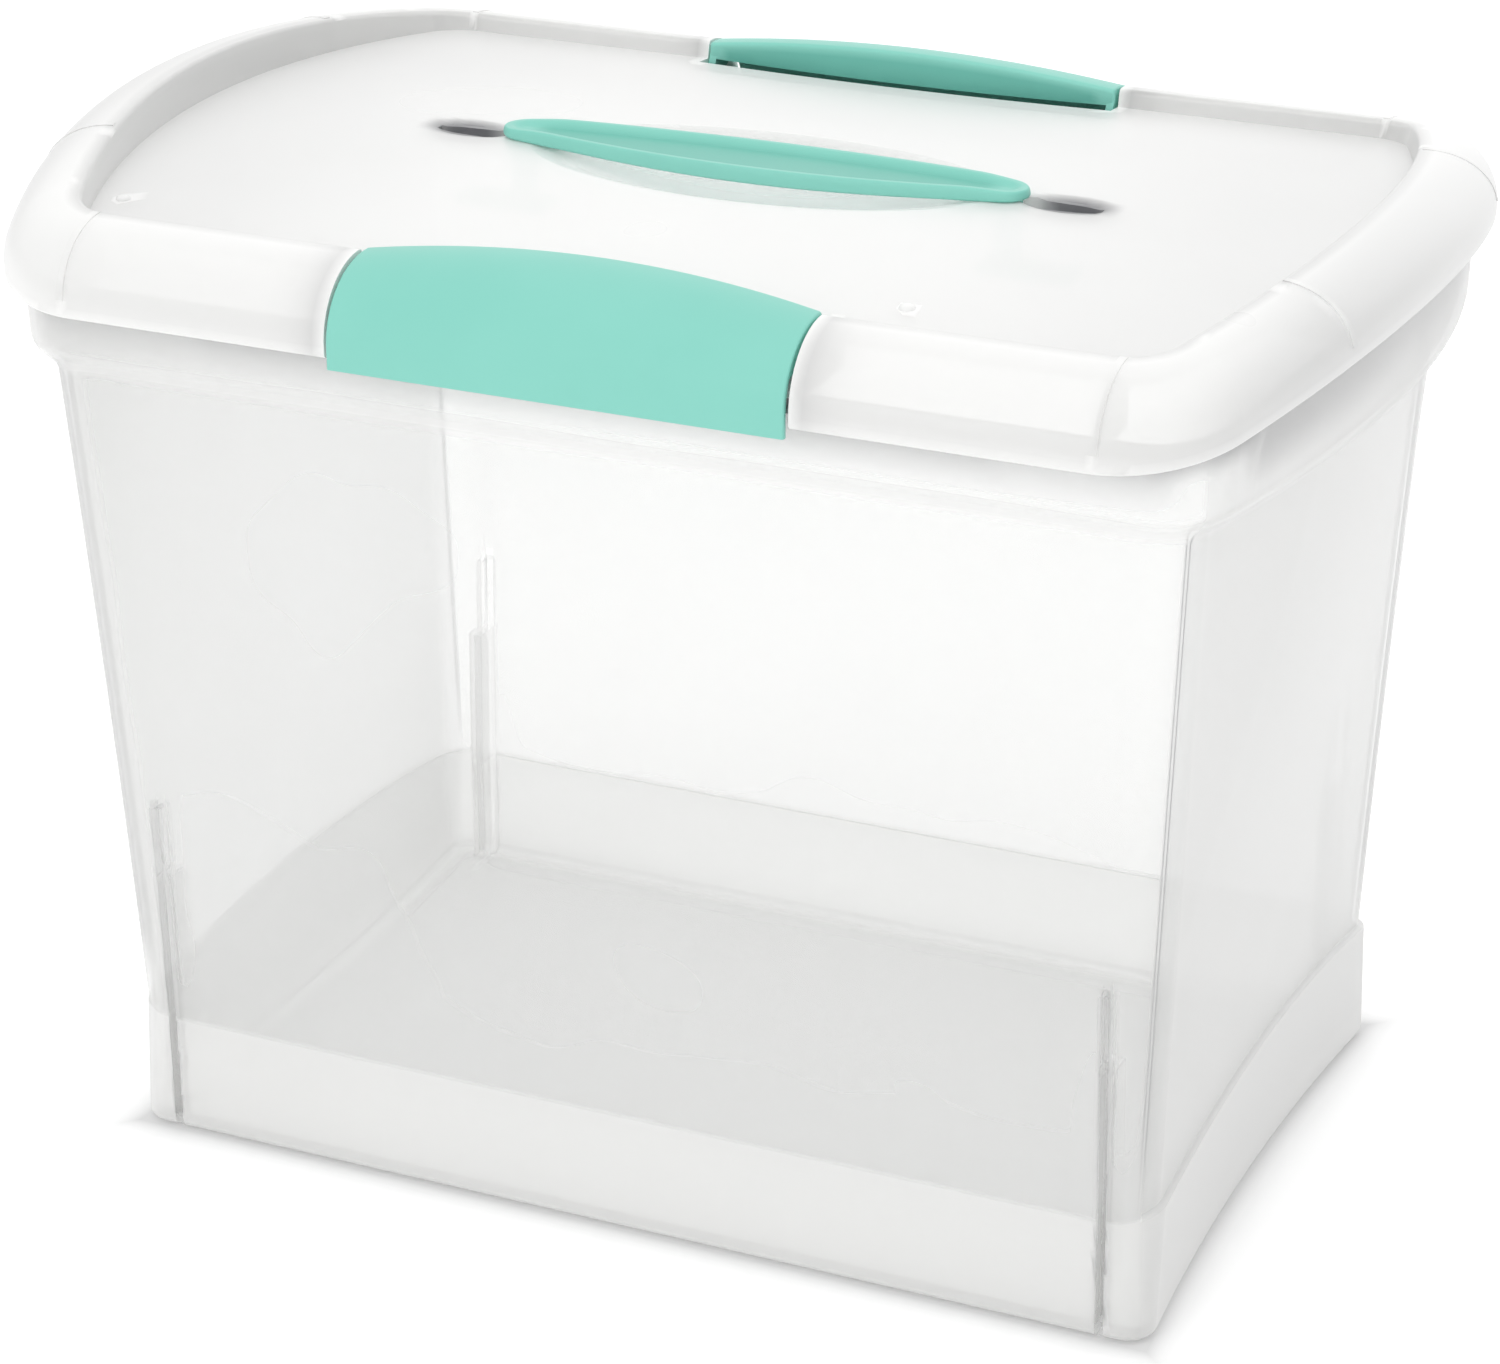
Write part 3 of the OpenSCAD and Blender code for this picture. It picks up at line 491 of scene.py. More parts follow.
ridgeZ = lidSpec["skirtLow"] + lidSpec["ridge"]
panelZ = ridgeZ - lidSpec["panelSink"]
rimIn = lidSpec["rimWidth"] + lidSpec["ridgeFlat"]
panelIn = rimIn + lidSpec["wallRun"]
panelHalf = lidHalf - panelIn
endRadius = cornerCentre(*level["lid"])[1]
# y and z of the front latch's axis
hinge = np.array([rimIn - lidHalf, ridgeZ - latchSpec["pinDrop"]])
crownY = rimIn - lidHalf + latchSpec["thick"]
bossRadius = latchSpec["pinRadius"] + latchSpec["bossWall"]
bayFloor = hinge[1] - bossRadius - 1.8


def crownEdge(x, off=0.0):
    # inner face of the front latch in plan: a shallow parabola that bulges over the panel
    return crownY + latchSpec["bulge"] * (1 - np.clip(np.abs(x) / latchSpec["half"], 0, 1) ** 2) + off


def panelTop(x, y):
    # top face of the panel: a parabolic crown less the bowl of the finger dish and a scoop at each slot
    s = lidSpec
    g = (x / s["dishLength"]) ** 2 + (y / s["dishWidth"]) ** 2
    k = ((np.abs(x) - s["scoopX"]) / s["scoopLength"]) ** 2 + (y / s["scoopWidth"]) ** 2
    return (panelZ + s["crown"] * (1 - (y / panelHalf) ** 2) - s["dishDepth"] * np.maximum(0, 1 - g) ** 1.2
            - s["scoopDepth"] * np.maximum(0, 1 - k) ** 1.3)


def rimRise(h):
    # rise of the arch of an end at a height over the skirt's edge: less and less from the skirt to the ridge
    s = lidSpec
    share = np.clip((h - s["skirt"]) / (s["ridge"] - s["skirt"]), 0, 1)
    return s["endRise"] + (s["ridgeRise"] - s["endRise"]) * share


def rimProfile(t, n=18):
    # quarter ellipse of the rim as [inset, height over the skirt's edge], t under the outer face
    s = lidSpec
    a = np.linspace(0, math.pi / 2, n + 1)
    inset = s["rimWidth"] - (s["rimWidth"] - t) * np.cos(a)
    return np.stack([inset, s["skirt"] + (s["ridge"] - s["skirt"] - t) * np.sin(a)], -1)


def makeLid():
    # One closed grid: rows over the rim and the panel, and back under the panel and the rim. Its columns are
    # those of the outline, with a doubled one at each cheek of the bays, where the rim's rows are left out.
    s = lidSpec
    t = s["thick"]
    sideX = np.concatenate([np.linspace(149, s["bayHalf"], 22), [s["bayHalf"]],
                            np.linspace(s["bayHalf"], 0, s["bayColumns"])[1:]])
    counts = (36, 14, 2, 0)

    # rim: up the outside to the ridge and down the inner wall to the panel
    outer = np.vstack([[[0.5, 0], [0, 0.8]], rimProfile(0)])
    ridge = rounded([[s["rimWidth"] - 2, s["ridge"] - 0.05], [rimIn + 0.2, s["ridge"]],
                     [panelIn - 0.3, s["ridge"] - s["panelSink"] + 0.6]], [0, 1.6, 0], 7)
    outer = np.vstack([outer[:-1], ridge[1:]])
    under = rimProfile(t)
    under = np.vstack([[[t - 0.5, 0], [t, 0.8]], under[:-1],
                       np.linspace([s["rimWidth"], s["ridge"] - t], [panelIn - t, s["ridge"] - s["panelSink"] - t], 9)])
    m = len(outer)
    even = [np.linspace(0, 1, count) for count in (m, len(under))]
    under = np.stack([np.interp(*even, under[:, i]) for i in (0, 1)], -1)

    def rimPoints(profile):
        x, y, arch = outline(np.tile(level["lid"], (len(profile), 1)), profile[:, 0], 0, 0, counts, sideX)
        return np.stack([x, y, s["skirtLow"] + profile[:, 1:] + rimRise(profile[:, 1:]) * arch], -1)

    def panelPoints(edge, drop):
        # rows from the edge of the panel to a ring 7 mm further in, on to the dish and to its middle; in a
        # bay the edge is the bay's arc
        x0, y0, _ = outline(level["lid"], edge, 0, 0, counts, sideX)
        x1, y1, _ = outline(level["lid"], panelIn + 7, 0, 0, counts, sideX)
        a = np.arctan2(y1 / s["dishWidth"], x1 / s["dishLength"])
        arc = -crownEdge(x0, s["bayGap"])
        y0 = np.where(inBay, np.sign(y0) * arc, y0)
        y1 = np.where(inBay, np.sign(y1) * np.minimum(np.abs(y1), arc - 0.6), y1)
        dx, dy = s["dishLength"] * np.cos(a), s["dishWidth"] * np.sin(a)
        toRing = np.linspace(0, 1, 4)[:-1, None]
        toDish = 1 - (1 - np.linspace(0, 1, 26)[:, None]) ** 1.5
        toMiddle = np.linspace(1, 0.04, 15)[1:, None]
        x = np.vstack([x0 + (x1 - x0) * toRing, x1 + (dx - x1) * toDish, dx * toMiddle])
        y = np.vstack([y0 + (y1 - y0) * toRing, y1 + (dy - y1) * toDish, dy * toMiddle])
        return np.stack([x, y, panelTop(x, y) - drop], -1)

    rim = rimPoints(outer)
    n = rim.shape[1]
    # columns inside the bays, the doubled one at each cheek apart
    quarter = np.arange(n // 4 + 1) > n // 4 - s["bayColumns"]
    inBay = fourQuarters(quarter, 1, 1).astype(bool)
    rows = [rim, panelPoints(panelIn, 0), panelPoints(panelIn - t, t)[::-1], rimPoints(under)[::-1]]
    grid = np.concatenate(rows, 0)
    total, nOuter, nPanel = len(grid), len(rows[0]), len(rows[1])
    first = nOuter + nPanel
    rowOf, colOf = np.repeat(np.arange(total), n), np.tile(np.arange(n), total)
    colBay = inBay | np.roll(inBay, -1)
    rimRow = (rowOf < nOuter) | (rowOf >= nOuter + 2 * nPanel - 1)
    # the two middles aren't joined, but capped
    joinRow = rowOf == first - 1
    quads = gridFaces(total, n, closeRows=True)[~(rimRow & colBay[colOf]) & ~joinRow]
    # middle of the dish, above and below
    pts = np.vstack([grid.reshape(-1, 3), [0, 0, panelTop(0, 0)], [0, 0, panelTop(0, 0) - t]])
    caps = [fanFaces(np.arange(n) + (first - 1) * n, total * n),
            fanFaces(np.arange(n) + first * n, total * n + 1, flip=True)]
    # cut ends of the rim: quads between the outer and the under rows of the column at each cheek
    closers = []
    j = np.arange(nOuter + 1)
    for shift in (-1, 1):
        for c in np.where(~inBay & np.roll(inBay, shift))[0]:
            a, b = j * n + c, (total - 1 - j) * n + c
            q = np.stack([a[:-1], a[1:], b[1:], b[:-1]], -1)
            closers.append(q[:, ::-1] if shift > 0 else q)
    # edge of the panel in the bays: between the first panel rows above and below
    c0 = np.where(colBay)[0]
    c1 = (c0 + 1) % n
    up, down = nOuter * n, (nOuter + 2 * nPanel - 1) * n
    closers.append(np.stack([up + c0, down + c0, down + c1, up + c1], -1))
    return outwards(makeMesh("lidShell", pts, [quads] + caps + closers), merge=True)


lidShell = makeLid()
print("lid shell:", len(lidShell.data.polygons), "faces")


def fixShading(obj, angle=38):
    # smooth faces, sharp edges where faces meet at more than the angle, and area-weighted normals
    obj.data.polygons.foreach_set("use_smooth", np.ones(len(obj.data.polygons), bool))
    obj.data.set_sharp_from_angle(angle=math.radians(angle))
    weightNormals(obj)
    return obj


def rimSection(a, t, low, depth):
    # Section under the outer face of the rim as [outward, z] points, t under that face and down to low;
    # a is the angle of the ray across an end, or 0 on a long side.
    s = lidSpec

    def lift(inset, h):
        arch = 1 - ((endRadius - inset) * math.sin(a) / (lidHalf - inset)) ** 2
        return 0 * inset if a == 0 else rimRise(h) * arch

    p = rimProfile(t)
    z = s["skirtLow"] + p[:, 1] + lift(p[:, 0], p[:, 1])
    keep = z > low + 0.2
    top = lift(np.array([s["rimWidth"]]), s["ridge"])[0]
    pts = [[-t, low]] + np.c_[-p[keep, 0], z[keep]].tolist() + [
        [-s["rimWidth"] - s["ridgeFlat"] / 2, ridgeZ + top - s["thick"] / 2],
        [-panelIn + s["thick"] / 2, panelZ - s["thick"] / 2 + top * 0.4],
        [-depth, panelZ - s["thick"] / 2], [-depth, low]]
    return np.array(pts)[::-1]


def rimPlate(x, y, a, t, section):
    # Upright plate across the rim, its section on the ray at angle a. The columns of the matrix are the
    # section's outward axis, its height, the plate's thickness and its place.
    c, s = math.cos(a), math.sin(a)
    matrix = np.array([[c, 0, s, x], [s, 0, -c, y], [0, 1, 0, 0]])
    return prism(section, -t / 2, t / 2, matrix)


def rimRibs():
    # the eight ribs across the rim: plates under it, which stand out of its face as beads
    s = lidSpec
    post, depth, bow, rad = level["lid"]
    a = math.asin(s["ribY"] / endRadius)
    seat = boxSpec["rimHeight"] + s["ribGap"]
    flangeIn = depth - level["flange"][1]
    endSeat = seat + s["endRise"] * (1 - ((endRadius - flangeIn) * math.sin(a) / level["flange"][1]) ** 2)
    parts = []
    for sx, sy in corners:
        section = rimSection(0, -s["bead"], seat, rimIn)
        parts.append(rimPlate(sx * s["ribX"], sy * lidHalf, sy * math.pi / 2, s["ribWidth"], section))
        x = sx * (post + bow - endRadius * (1 - math.cos(a)))
        face = math.pi / 2 - sx * (math.pi / 2 - sy * a)
        section = rimSection(a, -s["bead"], endSeat, rimIn)
        parts.append(rimPlate(x, sy * s["ribY"], face, s["ribWidth"], section))
    return parts


def cylinderX(x0, x1, y, z, r, n=48):
    # cylinder of radius r along x
    a = np.linspace(0, 2 * math.pi, n, endpoint=False)
    plan = np.c_[r * np.cos(a), r * np.sin(a)]
    matrix = np.array([[0, 0, 1, 0], [1, 0, 0, y], [0, 1, 0, z]])
    return prism(plan, min(x0, x1), max(x0, x1), matrix)


def bayLining():
    # back wall, floor, cheeks and bosses of the front bay
    s = lidSpec
    t = s["thick"]
    hl = s["bayHalf"]
    x = np.linspace(-hl - t, hl + t, 41)
    low, high = bayFloor - t, panelZ - t / 2
    wall = np.vstack([np.c_[x, crownEdge(x, s["bayGap"])], np.c_[x, crownEdge(x, s["bayGap"] + t)][::-1]])
    parts = [prism(wall, low, high)]
    x = np.linspace(-hl - t / 2, hl + t / 2, 41)
    parts.append(prism(np.vstack([[[-hl - t / 2, -lidHalf + 2 * t], [hl + t / 2, -lidHalf + 2 * t]],
                                  np.c_[x, crownEdge(x, s["bayGap"] + t / 2)][::-1]]), low, bayFloor))
    for sx in (-1, 1):
        parts.append(rimPlate(sx * (hl + t / 2), -lidHalf, -math.pi / 2, t,
                              rimSection(0, t / 2, low, lidHalf + crownEdge(hl, s["bayGap"] + t))))
        parts.append(cylinderX(sx * (hl + t / 2), sx * (hl + t + 3), hinge[0], hinge[1], bossRadius))
    return parts


def mirrored(parts, axis):
    # the same closed sets on the other side, across the axis
    f = np.ones(3)
    f[axis] = -1
    return [(p * f, [np.asarray(q)[:, ::-1] for q in fs]) for p, fs in parts]


handleSpec = {
    "length": 165.0, "width": 28.0, "lip": 4.0, "web": 2.0, "rise": -1.0, "belly": 0.8, "bellyHalf": 62.0,
    "edge": 0.9, "gap": 0.3, "tip": 5.6, "travel": 14.0, "legLength": 7.0, "legThick": 3.4, "legPitch": 153.0,
    "legGap": 0.5, "slotRun": 22.0, "slotWidth": 8.0, "slotTip": 1.4, "footLength": 28.0, "footWidth": 12.0,
    "footThick": 2.5, "footIn": 4.0, "guide": 4.0, "guideWall": 1.8, "webTone": 3.0, "webToneRun": 2.6,
}
strapZ = panelZ + lidSpec["crown"] + handleSpec["gap"]
guideZ = panelZ + lidSpec["crown"] - lidSpec["thick"] / 2 - handleSpec["guide"]
footZ = guideZ - handleSpec["gap"] - handleSpec["travel"]


def slotPlan(off):
    # plan of the right slot, grown by off: narrow at the leg, then a long lens that runs out to the tip
    h = handleSpec
    x0 = h["legPitch"] / 2 - h["legLength"] / 2 - h["legGap"]
    x1 = h["legPitch"] / 2 + h["legLength"] / 2 + h["legGap"]
    x2 = h["length"] / 2 + h["slotRun"]
    w = h["legThick"] / 2 + h["legGap"]
    xs = np.concatenate([[x0, x1], np.linspace(x1 + 3, x2, 13)])
    wide = h["slotWidth"] / 2
    ws = np.interp(xs, [x0, x1, x1 + 3, x2 - 6, x2], [w, w, wide, wide - 1, h["slotTip"]])
    xs = xs + np.where(xs < x1, -off, np.where(xs > x2 - 1, off, 0))
    return np.vstack([np.c_[xs, -ws - off], np.c_[xs, ws + off][::-1]])


def nub(x, y, r, height, n=20):
    # low dome on the panel where the moulding was fed: rings of [radius, height] that follow a round cap
    sunk = 0.8
    a = np.linspace(0, 2 * math.pi, n, endpoint=False)
    rings = [(r, -sunk), (r, 0.0), (r * 0.86, height * 0.5), (r * 0.5, height * 0.87)]
    base = panelTop(np.array(x), np.array(y))
    pts = np.vstack([np.c_[x + q * np.cos(a), y + q * np.sin(a), np.full(n, base + z)] for q, z in rings] +
                    [[[x, y, base + height]], [[x, y, base - sunk]]])
    m, ring = len(rings), np.arange(n)
    return pts, [gridFaces(m, n), fanFaces(ring + (m - 1) * n, m * n), fanFaces(ring, m * n + 1, flip=True)]


# x, y, radius and height of each moulding spot
nubs = ((83, -91, 2.4, 1.3), (-158, -91, 2.2, 1.1))


def finishLid(lid):
    # ribs, bays, slot guides and moulding spots joined to the lid; slots and bores cut
    h = handleSpec
    lining = bayLining()
    extras = rimRibs() + lining + mirrored(lining, 1)
    guides = [prism(slotPlan(h["guideWall"]), guideZ, guideZ + h["guide"])]
    extras += guides + mirrored(guides, 0)
    extras += [nub(*spot) for spot in nubs]
    combine(lid, extras, "UNION")
    slots = [prism(slotPlan(0), guideZ - 1, guideZ + h["guide"] + 10)]
    cuts = slots + mirrored(slots, 0)
    x0, x1 = lidSpec["bayHalf"] - 1, lidSpec["bayHalf"] + lidSpec["thick"] + 4
    bore = latchSpec["pinRadius"] + latchSpec["pinPlay"]
    cuts += [cylinderX(sx * x0, sx * x1, -sy * hinge[0], hinge[1], bore) for sx, sy in corners]
    combine(lid, cuts, "DIFFERENCE")
    return fixShading(lid)


# Tones of the lid: places and widths in mm, the rest are strengths.
lidTone = {
    "scoop": 1.25, "beside": 0.35, "besideRun": 5, "besideFrom": 112, "pitIn": 2.4, "pitLow": 1.2, "rimEnds": 0.15,
    "rimEndsFrom": 168, "rimEndsRun": 28, "panelEnds": 0.11, "panelEndsFrom": 60, "panelEndsRun": 110,
    "rimMilk": 0.5, "rimMilkIn": 20.5, "skirtHigh": 0.6, "longBead": 1.7, "endBead": 1.9, "dish": 0.75,
}


def lidShade(x, y, z):
    # Painted shade: darker in the scoops and the slot guides, in the pits of the bays, on the rim beside each bay,
    # where its cheek shows through, and towards the ends.
    s, b = lidSpec, lidTone
    ax, ay = np.abs(x), np.abs(y)
    k = ((ax - s["scoopX"] - 1) / (s["scoopLength"] + 1)) ** 2 + (y / (s["scoopWidth"] + 1)) ** 2
    scoop = np.clip(b["scoop"] - k, 0, 1)
    beside = np.exp(-np.maximum(0, ax - s["bayHalf"] - 1.5) / b["besideRun"]) * b["beside"]
    beside = beside * (ax > s["bayHalf"] + 0.2) * (ay > b["besideFrom"])
    edge = np.abs(ax - s["bayHalf"]) < 0.1
    pit = (ax < s["bayHalf"] - 0.1) * (ay > -crownEdge(x, s["bayGap"] + b["pitIn"])) * (z < panelZ - b["pitLow"]) * 1.0
    ends = np.where(insetOf(level["lid"], x, y) < rimIn - 1.7,
                    b["rimEnds"] * smoothStep((ax - b["rimEndsFrom"]) / b["rimEndsRun"]),
                    b["panelEnds"] * smoothStep((ax - b["panelEndsFrom"]) / b["panelEndsRun"]))
    return np.maximum.reduce([scoop, np.where(edge, 0, beside + ends), pit])


def lidMilkAndHighlight(x, y, z):
    # thicker haze and a painted highlight, a whiter colour, on the rim, the skirt's edge, the beads, the cut edges at
    # the bays and the nubs; thinner haze in the dish
    s, b = lidSpec, lidTone
    ax, ay = np.abs(x), np.abs(y)
    rim = smoothStep((b["rimMilkIn"] - insetOf(level["lid"], x, y)) / 2) * b["rimMilk"]
    arch = np.where(ax > 160, np.maximum(0, 1 - (y / lidHalf) ** 2), 0)
    skirt = smoothStep(1 - (z - s["endRise"] * arch - s["skirtLow"] - b["skirtHigh"])) * (ay > 125 * (ax < 160))
    out = np.hypot(np.maximum(0, ax - 150), y) > 60
    longBead = near(ax, s["ribX"], b["longBead"]) * (ay > b["besideFrom"])
    endBead = near(ay, s["ribY"], b["endBead"]) * (ax > 175)
    bead = np.maximum(longBead, endBead) * out
    cut = (np.abs(ax - s["bayHalf"]) < 0.3) * (ay > 104)
    spot = np.maximum.reduce([np.hypot(x - nx, y - ny) < r + 0.2 for nx, ny, r, _ in nubs])
    dish = np.maximum(0, 1 - (x / s["dishLength"]) ** 2 - (y / s["dishWidth"]) ** 2)
    return 1 + np.maximum.reduce([rim, skirt, bead, cut * 1.0, spot * 1.0]) - b["dish"] * smoothStep(dish * 3)


lidShell = finishLid(lidShell)
paint(lidShell, shade=lidShade, milk=lidMilkAndHighlight)
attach(lidShell, "cover")
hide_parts("lid")
print("lid:", len(lidShell.data.polygons), "faces")


def latchShade(x, y, z):
    # painted shade on the inner face of the crown, deeper by the depth under its edge
    inner = np.abs(y) < -crownEdge(x, -latchSpec["thick"] * 0.45)
    edge = ridgeZ + latchSpec["crownRise"] * (1 - (x / latchSpec["half"]) ** 2)
    return inner * smoothStep((edge - z - 1.6) / 1.6) * smoothStep((64.5 - np.abs(x) - (edge - z) * 0.6) / 1.5)


def latchSection(x, t):
    # Face of the front latch t under its outer skin at stations x: a straight foot, a quarter ellipse up to
    # the crown, a round edge and the inner face. Returns y and z arrays, one row per station.
    s = latchSpec
    x, t = x[:, None], t[:, None]
    topY = crownEdge(x, -t)
    topZ = ridgeZ + s["crownRise"] * (1 - (x / s["half"]) ** 2) - t
    outY = -(lidHalf + s["proud"] - t)
    footZ = lidSpec["skirtLow"] - s["drop"]
    lowZ = lidSpec["skirtLow"] + lidSpec["skirt"]
    one = np.ones_like(x)
    foot = np.linspace(0, 1, 4)[None, :]
    y0, z0 = outY * np.ones_like(foot), footZ + (lowZ - footZ) * foot * one
    a = np.linspace(0, math.pi / 2, 25)[None, 1:]
    y1 = topY - s["thick"] - (topY - s["thick"] - outY) * np.cos(a)
    z1 = lowZ + (topZ - lowZ) * np.sin(a)
    b = np.linspace(0, math.pi / 2, 7)[None, 1:]
    r = 1.3 - 0.4 * t
    y2 = topY - r + r * np.sin(b)
    z2 = topZ - r + r * np.cos(b)
    d = np.linspace(0, 1, 5)[None, 1:]
    low = ridgeZ - lidSpec["panelSink"] + 0.4
    y3 = topY * np.ones_like(d)
    z3 = (topZ - r) * (1 - d) + low * d
    return np.hstack([y0 * one, y1, y2, y3]), np.hstack([z0, z1, z2, z3])


def makeLatch(name, side):
    # outer and inner face joined to one shell, its two sides rounded by a quarter circle, then ears, pins and catch
    s = latchSpec
    bevel = s["bevel"]
    inner = np.linspace(-s["half"] + bevel, s["half"] - bevel, 41)
    e = s["half"] - bevel * (1 - np.sin(np.linspace(0, math.pi / 2, 6)))[1:]
    x = np.concatenate([-e[::-1], inner, e])
    d = np.maximum(0, np.abs(x) - s["half"] + bevel) / bevel
    f = bevel * (1 - np.sqrt(np.maximum(0, 1 - d ** 2)))
    yo, zo = latchSection(x, f)
    yi, zi = latchSection(x, s["thick"] - f)
    y = np.hstack([yo, yi[:, ::-1]])
    z = np.hstack([zo, zi[:, ::-1]])
    m, n = y.shape
    pts = np.stack([x[:, None] * np.ones((1, n)), y, z], -1).reshape(-1, 3)
    half = n // 2
    i = np.arange(half - 1)
    cap = np.stack([i, i + 1, n - 2 - i, n - 1 - i], -1)
    faces = [gridFaces(m, n), cap, cap[:, ::-1] + (m - 1) * n]
    latch = outwards(makeMesh(name, pts, faces))
    parts = []
    # ears and pins
    yy, zz = latchSection(np.array([s["half"] - s["earThick"]]), np.array([s["thick"] / 2]))
    curve = np.stack([yy[0], zz[0]], -1)[10:-3]
    ear = np.vstack([[[hinge[0] - bossRadius, hinge[1]], [hinge[0] - bossRadius - 3, hinge[1] + 2]], curve,
                     [[hinge[0] + bossRadius, hinge[1] + 3], [hinge[0] + bossRadius, hinge[1]]]])
    alongX = np.array([[0, 0, 1, 0], [1, 0, 0, 0], [0, 1, 0, 0]])
    for sx in (-1, 1):
        x0, x1 = sx * (s["half"] - s["earThick"]), sx * (s["half"] - 0.05)
        parts.append(prism(ear, min(x0, x1), max(x0, x1), alongX))
        parts.append(cylinderX(x0, x1, hinge[0], hinge[1], bossRadius))
        pinEnd = sx * (lidSpec["bayHalf"] + lidSpec["thick"] + 2)
        parts.append(cylinderX(x0, pinEnd, hinge[0], hinge[1], s["pinRadius"]))
    # catch along the foot
    yc = -(level["flange"][1] + s["catchGap"])
    zc = lidSpec["skirtLow"] - s["drop"]
    yb = -(lidHalf + s["proud"] - s["thick"] / 2)
    catch = [[yb, zc], [yc - 0.8, zc], [yc, zc + s["catchHeight"] / 2], [yc, zc + s["catchHeight"]],
             [yb, zc + s["catchHeight"] + 0.8]]
    parts.append(prism(catch, s["catchIn"] - s["half"], s["half"] - s["catchIn"], alongX))
    combine(latch, parts, "UNION")
    if side > 0:
        latch.data.transform(Matrix.Scale(-1, 4, (0, 1, 0)))
        outwards(latch)
    return fixShading(latch, 50)


latches = {}
for name, side, body, node in (("frontLatch", -1, "front_catch", "front_latch"),
                               ("backLatch", 1, "back_catch", "back_latch")):
    piece = makeLatch(name, side)
    paint(piece, shade=latchShade)
    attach(piece, body)
    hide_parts(node)
    latches[name] = piece
    print(name, len(piece.data.polygons), "faces")


def makeHandle():
    # Strap as a height field on a long lens with round tips: the top rises from the edge to a lip and
    # falls to a sunken web, both by the distance from the edge; the underside is flat with a round edge.
    h = handleSpec
    half, tip, lipLow = h["length"] / 2, h["tip"], 0.72
    q = np.linspace(-1, 1, 121)
    x = half * np.sin(np.sin(q * math.pi / 2) * math.pi / 2) * 0.9995
    u = np.sin(np.linspace(-1, 1, 49) * math.pi / 2)
    lens = tip + (h["width"] / 2 - tip) * (1 - (x / half) ** 2)
    r = np.maximum(0, np.abs(x) - half + tip) / tip
    w = lens * np.sqrt(np.maximum(0, 1 - r ** 2))
    x, lens, w = x[:, None], lens[:, None], w[:, None]
    y = w * u[None, :]
    tipDist = tip - np.hypot(np.abs(x) - half + tip, y * tip / lens)
    d = np.maximum(np.where(np.abs(x) > half - tip, tipDist, w - np.abs(y)), 0)
    base = strapZ + h["rise"] * (1 - (x / half) ** 2)
    edge = np.sqrt(np.maximum(0, 1 - (1 - np.minimum(d / h["edge"], 1)) ** 2))
    lip = h["lip"] * (lipLow + (1 - lipLow) * smoothStep((lens - tip) / 3.5))
    top = h["web"] + (lip - h["web"]) * (1 - smoothStep((d - 2.0) / 3.2))
    belly = h["belly"] * np.maximum(0, 1 - (x / h["bellyHalf"]) ** 2) ** 1.5
    zTop = base + h["edge"] - belly + (top - h["edge"] + belly) * edge
    zLow = base + h["edge"] * (1 - edge) - belly
    m, n = y.shape
    loopY = np.hstack([y, y[:, n - 2:0:-1]])
    loopZ = np.hstack([zTop, zLow[:, n - 2:0:-1]])
    k = loopY.shape[1]
    pts = np.stack([x * np.ones((1, k)), loopY, loopZ], -1).reshape(-1, 3)
    ends = [np.arange(k)[None, :], (np.arange(k) + (m - 1) * k)[None, ::-1]]
    strap = outwards(makeMesh("carryHandle", pts, [gridFaces(m, k)] + ends))
    parts = []
    square = np.array([[-1, -1], [1, -1], [1, 1], [-1, 1]]) / 2
    for sx in (-1, 1):
        leg = square * [h["legLength"], h["legThick"]] + [sx * h["legPitch"] / 2, 0]
        parts.append(prism(leg, footZ - h["footThick"] / 2, strapZ + h["web"] / 2))
        footX = (h["legPitch"] - h["legLength"] + h["footLength"]) / 2 - h["footIn"]
        foot = square * [h["footLength"], h["footWidth"]] + [sx * footX, 0]
        parts.append(prism(foot, footZ - h["footThick"], footZ))
    combine(strap, parts, "UNION")
    return fixShading(strap, 50)


def handleShade(x, y, z):
    # painted shade, deeper in the sunken web between the lips, away from the tips
    h = handleSpec
    w = h["tip"] + (h["width"] / 2 - h["tip"]) * (1 - (2 * x / h["length"]) ** 2)
    web = smoothStep((w - np.abs(y) - h["webTone"]) / h["webToneRun"]) * (z > strapZ - 0.6)
    return web * smoothStep((h["length"] / 2 - 7 - np.abs(x)) / 8)


carryHandle = makeHandle()
paint(carryHandle, shade=handleShade)
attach(carryHandle, "handle")
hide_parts("carry_handle")
print("handle:", len(carryHandle.data.polygons), "faces")


class Val:
    # a socket on which maths is written; each operation adds a Math node

    def __init__(self, tree, socket):
        self.tree, self.socket = tree, socket

    def math(self, operation, *values):
        node = self.tree.nodes.new("ShaderNodeMath")
        node.operation = operation
        for i, v in enumerate(values):
            if isinstance(v, Val):
                self.tree.links.new(v.socket, node.inputs[i])
            else:
                node.inputs[i].default_value = v
        return Val(self.tree, node.outputs[0])

    def __abs__(self):
        return self.math("ABSOLUTE", self)

    def least(self, other):
        return self.math("MINIMUM", self, other)

    def most(self, other):
        return self.math("MAXIMUM", self, other)

    def ramp(self, low, high):
        # 0 below low, 1 above high, smooth between
        node = self.tree.nodes.new("ShaderNodeMapRange")
        node.interpolation_type = "SMOOTHSTEP"
        self.tree.links.new(self.socket, node.inputs["Value"])
        node.inputs["From Min"].default_value = low
        node.inputs["From Max"].default_value = high
        return Val(self.tree, node.outputs["Result"])


# the signs + - * / ** between sockets and numbers, from either side
for sign, kind in (("add", "ADD"), ("sub", "SUBTRACT"), ("mul", "MULTIPLY"), ("truediv", "DIVIDE"), ("pow", "POWER")):
    setattr(Val, "__%s__" % sign, lambda self, other, kind=kind: self.math(kind, self, other))
    setattr(Val, "__r%s__" % sign, lambda self, other, kind=kind: self.math(kind, other, self))


